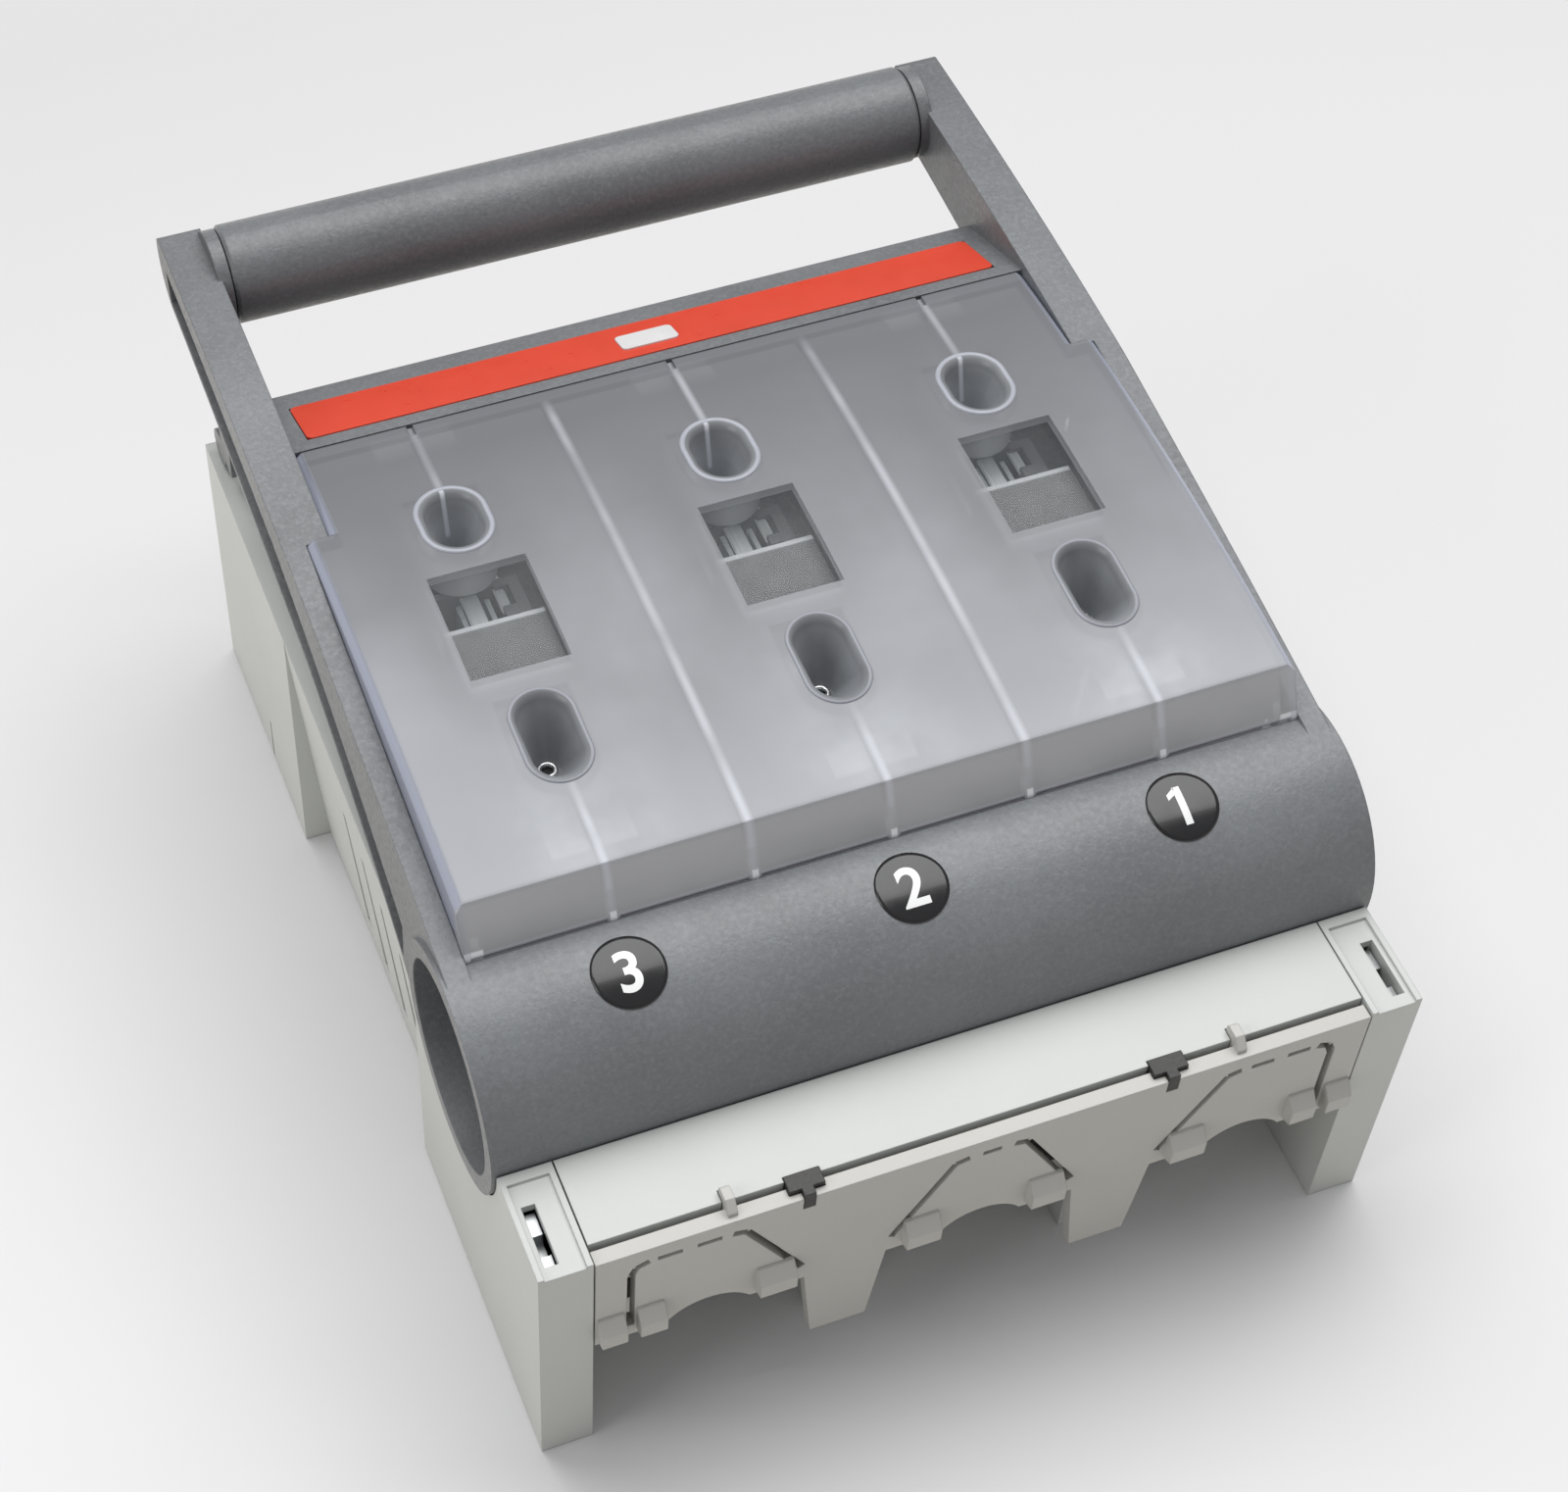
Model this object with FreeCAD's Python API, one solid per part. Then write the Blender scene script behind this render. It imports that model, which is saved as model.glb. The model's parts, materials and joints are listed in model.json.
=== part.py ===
import FreeCAD, Part
import math
import os

# Fuse switch disconnector, three poles, lying on its back.
# X runs across the poles, +Y runs from the hinge tube to the handle, +Z runs to the front.
# The origin is the centre of the four fixing holes, on the mounting plane.

V = FreeCAD.Vector

# overall sizes of the base
base_half_width = 104.0
base_length = 253.0
base_height = 79.0
fixing_from_near = 92.5
fixing_from_far = 40.5
wall = 3.0

# side blocks, towers and slanted middle wall
block_width = 12.3
saddle_lip = 0.25
far_block_length = 68.8
middle_foot_recess = 6.6
pocket_depth = 0.8
pocket_rim = 1.4
pocket_length = 24.0
slot_width = 3.1
slot_length = 15.2
slot_from_end = 3.2
slot_depth = 20.0
vent_count = 4
vent_low = 11.0
vent_under_top = 21.0
vent_foot_width = 3.2
vent_tip_width = 2.0
groove_from_block = 28.4
groove_width = 1.2
groove_height = 14.5

# hinge tube, carried in round saddles of the base
tube_overhang = 1.0
tube_from_near = 55.8
tube_rise = 1.2
tube_radius = 28.9
tube_wall = 4.4
saddle_gap = 0.35

# lid arms, seen from the side
arm_thin = 5.4
arm_thick = 10.9
arm_step_from_plate = 29.4
arm_overhang = 28.8
arm_top_rise = 43.9
arm_crown_rise = 45.8
arm_nose_rise = 45.1
arm_nose_radius = 2.0
arm_nose_lean = 1.6
arm_nose_back = 9.0
arm_low_end_rise = 29.3
arm_low_mid_rise = 18.6
arm_low_near_drop = 6.0
arm_rim_depth = 3.0
arm_rim_depth_thick = 6.5
arm_flange = 1.6
lid_gap = 1.0

# tray, cross beam and label plate of the lid
tray_rise = 12.0
tray_thickness = 2.5
ledge_width = 4.0
plate_from_end = 50.0
plate_reach = 29.7
plate_near_rise = 43.1
plate_far_rise = 31.9
plate_thickness = 3.0
beam_foot_rise = 11.0
strip_end_gap = 5.1
strip_width = 18.4
strip_thickness = 1.0
strip_sink = 0.8
strip_from_near = 5.2
strip_corner = 1.6
tag_length = 14.5
tag_width = 7.8
tag_thickness = 0.4
tag_corner = 1.4
tag_x = -0.5
tag_from_middle = 1.0

# grip bar
grip_from_end = 12.3
grip_rise = 38.6
grip_radius = 12.2
grip_end_gap = 2.6
grip_bore_radius = 8.7
collar_radius = 11.6
spigot_radius = 8.6
spigot_length = 14.0

# window
window_wall = 2.4
window_near_from_tube = 11.5
window_foot_from_tube = 5.5
window_plate_gap = 0.7
window_near_rise = 42.6
window_crown_rise = 46.6
window_far_rise = 43.4
window_foot_rise = 30.3
window_rest_rise = 22.0
window_edge = 1.8
window_gap = 0.15
foot_width = 1.4
foot_groove = 0.9
notch_length = 3.4
probe_near_width = 14.2
probe_near_length = 24.5
probe_far_width = 15.0
probe_far_length = 19.5
probe_foot_rise = 32.0
probe_tip_width = 8.0
probe_lip = 1.6
rib_width = 1.6
rib_depth = 9.0

# fuse carriers under the window
carrier_half_width = 12.0
carrier_from_near_probe = 17.9
carrier_from_far_probe = 8.2
carrier_height = 26.5
carrier_frame_height = 17.0
carrier_wall = 1.6
grip_leaf_thickness = 1.2
grip_leaf_end_gap = 1.8
grip_leaf_drop = 18.0
grip_leaf_x = 2.8
grip_foot_width = 2.7

# current path
bar_width = 25.0
bar_thickness = 5.0
bar_under_tube = 9.3
riser_gap = 3.0
jaw_floor_drop = 20.0
jaw_near_from_tube = 24.7
jaw_far_from_end = 64.5
jaw_length = 22.0
jaw_height = 23.0
leaf_thickness = 2.2
leaf_gap = 5.6
leaf_flare = 2.4
bar_inset = 6.5
bolt_inset = 19.5
bolt_radius = 5.0
bolt_grip_gap = 0.1
head_across = 16.0
head_height = 6.4
nut_height = 7.0
shelf_depth = 21.0
spring_thickness = 1.0
spring_height = 9.0

# arc plates beside the far jaws
arc_plate_count = 4
arc_plate_pitch = 5.0
arc_plate_thickness = 1.5
arc_plate_half_width = 20.0
arc_plate_depth = 20.0
arc_notch_gap = 0.8
arc_first_drop = 25.0
arc_groove = 1.0

# fixing holes
fixing_radius = 3.5
fixing_boss_half = 7.0
fixing_boss_height = 14.0
fixing_well_half = 6.2
floor_thickness = 4.0
floor_near_inset = 40.5
floor_far_inset = 28.5

# deck and chambers
deck_thickness = 3.0
chamber_rim = 6.3
chamber_from_block = 7.2
chamber_from_end = 78.5
jaw_slot_half_width = 8.0
partition = 2.4
inner_rim_height = 9.0
inner_rim_wall = 2.4

# terminal covers and knock-out panels
cover_gap = 0.4
cover_thickness = 2.6
cover_skirt = 9.0
far_cover_length = 29.0
panel_thickness = 3.2
panel_ledge_drop = 1.0
panel_groove = 1.6
panel_foot_over_bar = 1.0
panel_leg_length = 26.5
leg_top_half_width = 9.8
leg_foot_half_width = 6.8
arch_radius = 11.8
arch_under_bar = 5.6
score_width = 1.9
score_from_top = 6.2
score_from_foot = 5.5
clip_depth = 3.2
clip_height = 9.5
clip_from_foot = 1.5
hook_width = 2.2
hook_rise = 2.6
latch_cap_width = 8.2
latch_cap_depth = 4.0
latch_stem_width = 2.6
latch_length = 15.0
tongue_width = 4.4
tongue_length = 9.0
tongue_from_end = 9.5
tongue_tip_radius = 4.9
tongue_tip_ahead = 2.0

# values that follow from the ones above
near_y = -(base_length + fixing_from_near - fixing_from_far) / 2.0
far_y = near_y + base_length
fixing_near_y = near_y + fixing_from_near
fixing_far_y = far_y - fixing_from_far
pole_pitch = 0.625 * base_half_width
poles = [-pole_pitch, 0.0, pole_pitch]
gaps_between_poles = [-pole_pitch / 2.0, pole_pitch / 2.0]
far_reach = 3.0 * base_length

tube_y = near_y + tube_from_near
tube_z = base_height + tube_rise
tube_half_length = base_half_width + tube_overhang
saddle_radius = tube_radius + saddle_gap
near_block_length = tube_from_near + saddle_radius + saddle_lip
near_block_y = near_y + near_block_length
far_block_y = far_y - far_block_length
block_inner_x = base_half_width - block_width
cover_half_width = block_inner_x - cover_gap
middle_length = far_block_y - near_block_y

arm_end_y = far_y + arm_overhang
arm_reach = arm_end_y - tube_y
arm_top_mid_y = tube_y + 0.4894 * arm_reach
arm_top_mid_z = base_height + arm_top_rise
arm_crown_y = tube_y + 0.7394 * arm_reach
arm_crown_z = base_height + arm_crown_rise
arm_nose_z = base_height + arm_nose_rise
arm_low_end_z = base_height + arm_low_end_rise
arm_low_mid_y = tube_y + 0.4544 * arm_reach
arm_low_mid_z = base_height + arm_low_mid_rise
arm_low_near_y = tube_y + 0.1712 * arm_reach
arm_low_near_z = base_height - arm_low_near_drop
arm_inner_thin = base_half_width - arm_thin
arm_inner_thick = base_half_width - arm_thick
grip_y = arm_end_y - grip_from_end
grip_z = base_height + grip_rise
grip_half_length = arm_inner_thick - grip_end_gap

plate_far_y = arm_end_y - plate_from_end
plate_far_z = base_height + plate_far_rise
plate_near_y = plate_far_y - plate_reach
plate_near_z = base_height + plate_near_rise
plate_slope = math.atan2(plate_near_z - plate_far_z, plate_reach)
arm_step_y = plate_near_y - arm_step_from_plate
tray_z = base_height + tray_rise
beam_foot_z = base_height + beam_foot_rise
strip_half_length = arm_inner_thick - strip_end_gap

window_near_y = tube_y + window_near_from_tube
window_near_z = base_height + window_near_rise
window_far_y = plate_near_y - window_plate_gap
window_far_z = base_height + window_far_rise
window_crown_y = (window_near_y + window_far_y) / 2.0
window_crown_z = base_height + window_crown_rise
window_foot_y = tube_y + window_foot_from_tube
window_foot_z = base_height + window_foot_rise
window_rest_z = base_height + window_rest_rise
window_length = window_far_y - window_near_y
window_half_near = arm_inner_thin - window_gap
window_half_far = arm_inner_thick - window_gap
probe_near_y = window_near_y + 0.2558 * window_length
probe_far_y = window_far_y - 0.2513 * window_length
probe_foot_z = base_height + probe_foot_rise

carrier_near_y = probe_near_y + carrier_from_near_probe
carrier_far_y = probe_far_y - carrier_from_far_probe
carrier_step_y = carrier_near_y + 0.515 * (carrier_far_y - carrier_near_y)
grip_leaf_y = carrier_step_y + 1.0
grip_leaf_end_y = carrier_far_y - carrier_wall - grip_leaf_end_gap

bar_z = tube_z - tube_radius - bar_under_tube
jaw_floor_z = bar_z - jaw_floor_drop
jaw_near_y = tube_y + jaw_near_from_tube
jaw_far_y = far_y - jaw_far_from_end
arc_first_z = base_height - arc_first_drop
arc_notch_half_width = leaf_gap / 2.0 + leaf_thickness + leaf_flare + arc_notch_gap
floor_near_y = near_y + floor_near_inset
floor_far_y = far_y - floor_far_inset
chamber_half_width = (pole_pitch - partition) / 2.0 - chamber_rim
chamber_near_y = near_block_y + chamber_from_block
chamber_far_y = far_y - chamber_from_end

panel_foot_z = bar_z + panel_foot_over_bar
panel_leg_z = panel_foot_z - panel_leg_length
arch_z = bar_z - arch_under_bar
score_top_z = base_height - score_from_top
score_foot_z = panel_foot_z + score_from_foot
score_outer_x = 1.28 * pole_pitch
clip_low_z = panel_foot_z + clip_from_foot
hook_x = 0.923 * pole_pitch
latch_x = 0.66 * pole_pitch


def box(x0, x1, y0, y1, z0, z1):
    return Part.makeBox(x1 - x0, y1 - y0, z1 - z0, V(x0, y0, z0))


def rod_x(x0, x1, y, z, radius):
    return Part.makeCylinder(radius, x1 - x0, V(x0, y, z), V(1, 0, 0))


def rod_z(x, y, radius, z0, z1):
    return Part.makeCylinder(radius, z1 - z0, V(x, y, z0), V(0, 0, 1))


def both_sides(shape):
    return [shape, shape.mirror(V(0, 0, 0), V(1, 0, 0))]


def mirrored_x(shape):
    return shape.mirror(V(0, 0, 0), V(1, 0, 0))


def joined(first, others):
    return first.fuse(others).removeSplitter()


def line(a, b):
    return Part.LineSegment(a, b).toShape()


def arc(a, b, c):
    return Part.Arc(a, b, c).toShape()


def at_yz(y, z):
    return V(0, y, z)


def at_xz(x, z):
    return V(x, 0, z)


def extrude_x(edges, x0, x1):
    face = Part.Face(Part.Wire(edges))
    face.translate(V(x0, 0, 0))
    return face.extrude(V(x1 - x0, 0, 0))


def polygon_x(points, x0, x1):
    corners = [V(x0, y, z) for y, z in points]
    face = Part.Face(Part.makePolygon(corners + corners[:1]))
    return face.extrude(V(x1 - x0, 0, 0))


def polygon_y(points, y0, y1):
    corners = [V(x, y0, z) for x, z in points]
    face = Part.Face(Part.makePolygon(corners + corners[:1]))
    return face.extrude(V(0, y1 - y0, 0))


def polygon_z(points, z0, z1):
    corners = [V(x, y, z0) for x, y in points]
    face = Part.Face(Part.makePolygon(corners + corners[:1]))
    return face.extrude(V(0, 0, z1 - z0))


def stadium_wire(x, y, width, length, z):
    half = width / 2.0
    reach = length / 2.0 - half
    right_low = V(x + half, y - reach, z)
    right_high = V(x + half, y + reach, z)
    left_high = V(x - half, y + reach, z)
    left_low = V(x - half, y - reach, z)
    top = arc(right_high, V(x, y + reach + half, z), left_high)
    bottom = arc(left_low, V(x, y - reach - half, z), right_low)
    return Part.Wire([line(right_low, right_high), top, line(left_high, left_low), bottom])


def hexagon(x, y, across, z0, z1):
    radius = across / math.sqrt(3.0)
    corners = []
    for step in range(6):
        angle = math.radians(60.0 * step)
        corners.append((x + radius * math.cos(angle), y + radius * math.sin(angle)))
    return polygon_z(corners, z0, z1)


def write(name, shape):
    shape.exportStep("parts/" + name + ".step")


# outline of the lid arms, seen from the side

def tube_point(degrees, radius):
    angle = math.radians(degrees)
    return at_yz(tube_y + radius * math.cos(angle), tube_z + radius * math.sin(angle))


def arm_low_edges(drop):
    shift = V(0, 0, -drop)
    nose_low = at_yz(arm_end_y - arm_nose_back, arm_low_end_z) + shift
    middle = at_yz(arm_low_mid_y, arm_low_mid_z) + shift
    near = at_yz(arm_low_near_y, arm_low_near_z) + shift
    foot = tube_point(-57.0, tube_radius) + shift
    far_bow = at_yz((nose_low.y + middle.y) / 2.0, (nose_low.z + middle.z) / 2.0 + 1.4)
    near_bow = at_yz((middle.y + near.y) / 2.0, (middle.z + near.z) / 2.0 + 2.2)
    edges = [arc(nose_low, far_bow, middle), arc(middle, near_bow, near), line(near, foot)]
    return edges, nose_low, foot


def arm_side(x0, x1):
    start = tube_point(90.0, tube_radius)
    middle = at_yz(arm_top_mid_y, arm_top_mid_z)
    near_bow = at_yz((start.y + middle.y) / 2.0, (start.z + middle.z) / 2.0 + 0.6)
    crown = at_yz(arm_crown_y, arm_crown_z)
    nose_top = at_yz(arm_end_y - arm_nose_radius, arm_nose_z)
    nose = at_yz(arm_end_y, arm_nose_z - arm_nose_radius)
    nose_bend = nose_top + V(0, arm_nose_radius * 0.7071, -arm_nose_radius * 0.2929)
    low_edges, nose_low, foot = arm_low_edges(0.0)
    nose_back = at_yz(arm_end_y - arm_nose_lean, (nose.z + nose_low.z) / 2.0 - 1.0)
    centre = at_yz(tube_y, tube_z)
    edges = [arc(start, near_bow, middle), arc(middle, crown, nose_top)]
    edges += [arc(nose_top, nose_bend, nose), arc(nose, nose_back, nose_low)]
    edges += low_edges
    edges += [line(foot, centre), line(centre, start)]
    return extrude_x(edges, x0, x1)


def arm_recess(x0, x1, from_y):
    low_edges, nose_low, foot = arm_low_edges(-arm_flange)
    near_low = at_yz(arm_low_near_y - 3.0, arm_low_near_z)
    near_high = at_yz(arm_low_near_y - 4.0, arm_low_near_z + 13.0)
    middle = at_yz(arm_low_mid_y + 24.0, arm_top_mid_z - 8.6)
    near_bow = at_yz((near_high.y + middle.y) / 2.0, (near_high.z + middle.z) / 2.0 + 3.4)
    end_high = at_yz(arm_end_y - 7.5, arm_nose_z - 5.5)
    far_bow = at_yz((middle.y + end_high.y) / 2.0, (middle.z + end_high.z) / 2.0 + 0.8)
    end_low = at_yz(nose_low.y, nose_low.z)
    near_edge_start = low_edges[1].Vertexes[1].Point
    edges = [arc(near_high, near_bow, middle), arc(middle, far_bow, end_high), line(end_high, end_low)]
    edges += [low_edges[0], low_edges[1], line(near_edge_start, near_low), line(near_low, near_high)]
    recess = extrude_x(edges, x0, x1)
    return recess.common(box(x0 - 1, x1 + 1, from_y, far_reach, 0, far_reach))


def saddle_cut(radius):
    return rod_x(-far_reach, far_reach, tube_y, tube_z, radius)


def under_lid_cut():
    edges, nose_low, foot = arm_low_edges(lid_gap)
    roof_far = at_yz(nose_low.y, far_reach)
    roof_near = at_yz(tube_y, far_reach)
    saddle = at_yz(tube_y, foot.z)
    edges += [line(foot, saddle), line(saddle, roof_near), line(roof_near, roof_far)]
    edges += [line(roof_far, nose_low)]
    return extrude_x(edges, -far_reach, far_reach)


# base moulding

def tower_top_cuts():
    high = base_height - pocket_depth
    rim_x = base_half_width - pocket_rim
    pocket = box(block_inner_x + pocket_rim, rim_x, near_y - 1, near_y + pocket_length, high, base_height + 1)
    slot_x = rim_x - 1.2
    slot_y = near_y + slot_from_end
    slot = box(slot_x - slot_width, slot_x, slot_y, slot_y + slot_length, base_height - slot_depth, base_height + 1)
    return [pocket, slot]


def side_block(y0, y1):
    block = box(block_inner_x, base_half_width, y0, y1, 0, base_height)
    hollow = box(block_inner_x + wall, base_half_width - wall, y0 + wall, y1 - wall, -1, base_height - wall)
    return block, hollow


def near_block():
    block, hollow = side_block(near_y, near_block_y)
    hollow = hollow.cut(saddle_cut(saddle_radius + wall))
    high_hollow = box(0, base_half_width - wall, tube_y, near_block_y - wall, base_height / 2.0, far_reach)
    hollow = hollow.cut(high_hollow)
    return block.cut([hollow] + tower_top_cuts())


def far_block():
    block, hollow = side_block(far_block_y, far_y)
    y0 = far_block_y + groove_from_block
    groove = box(base_half_width - wall / 2.0, base_half_width + 1, y0, y0 + groove_width, -1, groove_height)
    return block.cut([hollow, groove])


def middle_wall():
    top = base_half_width
    foot = base_half_width - middle_foot_recess
    outline = [(top, base_height), (foot, 0), (foot - wall, 0), (top - wall, base_height)]
    wall_shape = polygon_y(outline, near_block_y - 1.0, far_block_y + 1.0)
    vents = []
    for number in range(vent_count):
        y = near_block_y + (0.169 + 0.1466 * number) * middle_length
        vent_high = base_height - vent_under_top
        tip = vent_tip_width / 2.0
        base = vent_foot_width / 2.0
        slit = [(y - base, vent_low), (y + base, vent_low), (y + tip, vent_high), (y - tip, vent_high)]
        vents.append(polygon_x(slit, foot - 2 * wall, base_half_width + 1))
    return wall_shape.cut(vents)


def inner_rims():
    outer = arm_inner_thin - 1.2
    y0 = near_block_y + 6.0
    rim = box(outer - inner_rim_wall, outer, y0, far_y - 16.0, base_height - 1.0, base_height + inner_rim_height)
    clear = rod_x(0, far_reach, tube_y, tube_z, tube_radius + 12.0)
    return rim.cut([clear, rim_headroom()])


def rim_headroom():
    corner = (near_block_y, base_height + 2.0)
    points = [corner, (near_block_y, far_reach), (arm_low_mid_y + 10.0, far_reach)]
    points.append((arm_low_mid_y + 10.0, base_height + inner_rim_height))
    return polygon_x(points, 0, far_reach)


def deck():
    y0 = tube_y + saddle_radius + 1.0
    plate = box(-block_inner_x - 1, block_inner_x + 1, y0, far_y - 30.0, base_height - deck_thickness, base_height)
    wide = box(-base_half_width + wall, base_half_width - wall, near_block_y, far_block_y,
               base_height - deck_thickness, base_height)
    openings = []
    for x in poles:
        openings.append(box(x - chamber_half_width, x + chamber_half_width, chamber_near_y, chamber_far_y,
                            0, far_reach))
        openings.append(box(x - jaw_slot_half_width, x + jaw_slot_half_width, chamber_far_y - 1,
                            jaw_far_y + jaw_length / 2.0 + 2.0, 0, far_reach))
    return plate.fuse(wide).cut(openings)


def partition_walls():
    walls = []
    for x in gaps_between_poles:
        y0 = near_y + panel_thickness + 10.0
        y1 = far_y - panel_thickness - 10.0
        wall_shape = box(x - partition / 2.0, x + partition / 2.0, y0, y1, 0, base_height - cover_thickness - 0.6)
        walls.append(wall_shape)
    return walls


def contact_supports(jaw_y, end_y, inward):
    supports = []
    for x in poles:
        half = jaw_length / 2.0
        pillar = box(x - 9.0, x + 9.0, jaw_y - half, jaw_y + half, floor_thickness - 1, jaw_floor_z)
        core = box(x - 6.5, x + 6.5, jaw_y - half + 2.5, jaw_y + half - 2.5, -1, jaw_floor_z - 4.0)
        supports.append(pillar.cut(core))
    shelf_start = end_y + inward * (bolt_inset - shelf_depth / 2.0)
    shelf_end = shelf_start + inward * shelf_depth
    y0 = min(shelf_start, shelf_end)
    y1 = max(shelf_start, shelf_end)
    shelf = box(-block_inner_x - 1, block_inner_x + 1, y0, y1, bar_z - nut_height - 1.0, bar_z)
    pockets = []
    for x in poles:
        y = end_y + inward * bolt_inset
        pockets.append(hexagon(x, y, head_across + 2 * bolt_grip_gap, bar_z - nut_height, bar_z + 1))
    supports.append(shelf.cut(pockets))
    return supports


def arc_combs():
    combs = []
    high = arc_first_z + arc_plate_count * arc_plate_pitch
    y0 = jaw_far_y - arc_plate_depth / 2.0
    for x in poles:
        for side in (-1, 1):
            inner = arc_plate_half_width - arc_groove
            outer = arc_plate_half_width + 1.2
            x0 = min(x + side * inner, x + side * outer)
            x1 = max(x + side * inner, x + side * outer)
            comb = box(x0, x1, y0 - 1.5, y0 + arc_plate_depth + 1.5, floor_thickness - 1, high)
            for number in range(arc_plate_count):
                z = arc_first_z + number * arc_plate_pitch
                groove = box(x - arc_plate_half_width, x + arc_plate_half_width, y0, y0 + arc_plate_depth,
                             z, z + arc_plate_thickness)
                comb = comb.cut(groove)
            combs.append(comb)
    return combs


def fixing_points():
    return [(x, y) for x in gaps_between_poles for y in (fixing_near_y, fixing_far_y)]


def base_body():
    parts = []
    for block in (near_block(), far_block(), middle_wall()):
        parts += both_sides(block)
    floor_half = base_half_width - middle_foot_recess - 1.0
    floor = box(-floor_half, floor_half, near_block_y - 1, far_block_y + 1, 0, floor_thickness)
    floor_ends = box(-block_inner_x - 1, block_inner_x + 1, floor_near_y, floor_far_y, 0, floor_thickness)
    parts += [floor_ends, deck()]
    parts += both_sides(inner_rims())
    parts += partition_walls()
    parts += contact_supports(jaw_near_y, near_y, 1)
    parts += contact_supports(jaw_far_y, far_y, -1)
    parts += arc_combs()
    bosses = []
    bores = []
    for x, y in fixing_points():
        boss = fixing_boss_half
        bosses.append(box(x - boss, x + boss, y - boss, y + boss, 0, fixing_boss_height))
        bores.append(rod_z(x, y, fixing_radius, -1, fixing_boss_height + 1))
        well = fixing_well_half
        bores.append(box(x - well, x + well, y - well, y + well, fixing_boss_height, far_reach))
    body = floor.fuse(parts + bosses)
    tops = box(-far_reach, far_reach, near_y - 1, tube_y, tube_z, far_reach)
    body = body.cut([saddle_cut(saddle_radius), tops, under_lid_cut()] + bores)
    return body.removeSplitter()


# terminal covers, drawn at the near end and turned round for the far end

def turned(shape):
    centre_y = near_y + base_length / 2.0
    copy = shape.copy()
    copy.rotate(V(0, centre_y, 0), V(0, 0, 1), 180.0)
    return copy


def top_cover(inner_y):
    y0 = near_y + panel_thickness + panel_groove
    high = base_height
    plate = box(-cover_half_width, cover_half_width, y0, inner_y, high - cover_thickness, high)
    skirt_z = high - cover_skirt
    front = box(-cover_half_width, cover_half_width, y0, y0 + 1.8, skirt_z, high)
    cover = plate.fuse([front])
    for side in (-1, 1):
        edge = side * cover_half_width
        x0 = min(edge, edge - side * 1.8)
        cover = cover.fuse(box(x0, x0 + 1.8, y0, inner_y, skirt_z, high))
    return cover


def near_top_cover():
    cover = top_cover(tube_y)
    cover = cover.cut([saddle_cut(saddle_radius), latch_room(), hook_room()])
    return cover.removeSplitter()


def far_top_cover():
    cover = top_cover(near_y + far_cover_length).cut([latch_room(), hook_room()])
    return turned(cover.removeSplitter())


def latch_shape(gap):
    y0 = near_y + 1.9 - gap
    y1 = y0 + latch_cap_depth + 2 * gap
    z0 = base_height - latch_length - gap
    high = base_height + 0.4
    shapes = []
    for x in (-latch_x, latch_x):
        half_cap = latch_cap_width / 2.0 + gap
        half_stem = latch_stem_width / 2.0 + gap
        cap = box(x - half_cap, x + half_cap, y0, y1, z0, high + gap)
        stem = box(x - half_stem, x + half_stem, near_y - gap, y0 + 1, base_height - 5.0 - gap, high + gap)
        shapes.append(cap.fuse(stem).removeSplitter())
    return shapes


def latch_room():
    rooms = latch_shape(0.15)
    return rooms[0].fuse(rooms[1])


def hook_boxes(gap):
    y0 = near_y + 1.2 - gap
    y1 = near_y + panel_thickness + panel_groove + 2.8 + gap
    z0 = base_height - 5.0
    return [box(x - hook_width / 2.0 - gap, x + hook_width / 2.0 + gap, y0, y1, z0, far_reach)
            for x in (-hook_x, hook_x)]


def hook_room():
    rooms = hook_boxes(0.2)
    return rooms[0].fuse(rooms[1])


def hook_shapes():
    hooks = []
    y1 = near_y + panel_thickness
    y2 = y1 + panel_groove + 2.6
    z1 = base_height - panel_ledge_drop
    z2 = base_height + hook_rise
    for x in (-hook_x, hook_x):
        profile = [(near_y + 1.4, z1 - 4.0), (y2 - 2.2, z1 - 4.0), (y2 - 2.2, z1 - 1.0), (y2, z1)]
        profile += [(y2, z2 - 0.8), (y2 - 0.8, z2), (near_y + 3.6, z2), (near_y + 1.4, z1 + 1.0)]
        hooks.append(polygon_x(profile, x - hook_width / 2.0, x + hook_width / 2.0))
    return hooks


def panel_outline():
    top = base_height - panel_ledge_drop
    edge = cover_half_width
    points = [(-edge, top), (edge, top), (edge, panel_foot_z)]
    for x in sorted(gaps_between_poles, reverse=True):
        points.append((x + leg_top_half_width, panel_foot_z))
        points.append((x + leg_foot_half_width, panel_leg_z))
        points.append((x - leg_foot_half_width, panel_leg_z))
        points.append((x - leg_top_half_width, panel_foot_z))
    points.append((-edge, panel_foot_z))
    return points


def slot_along(points, half):
    cuts = []
    for number in range(len(points) - 1):
        a = V(points[number][0], 0, points[number][1])
        b = V(points[number + 1][0], 0, points[number + 1][1])
        along = b.sub(a)
        side = V(-along.z, 0, along.x)
        side.normalize()
        side.multiply(half)
        corners = [a + side, b + side, b - side, a - side]
        cuts.append(polygon_y([(c.x, c.z) for c in corners], near_y - 1, near_y + panel_thickness + 1))
    return cuts


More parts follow.
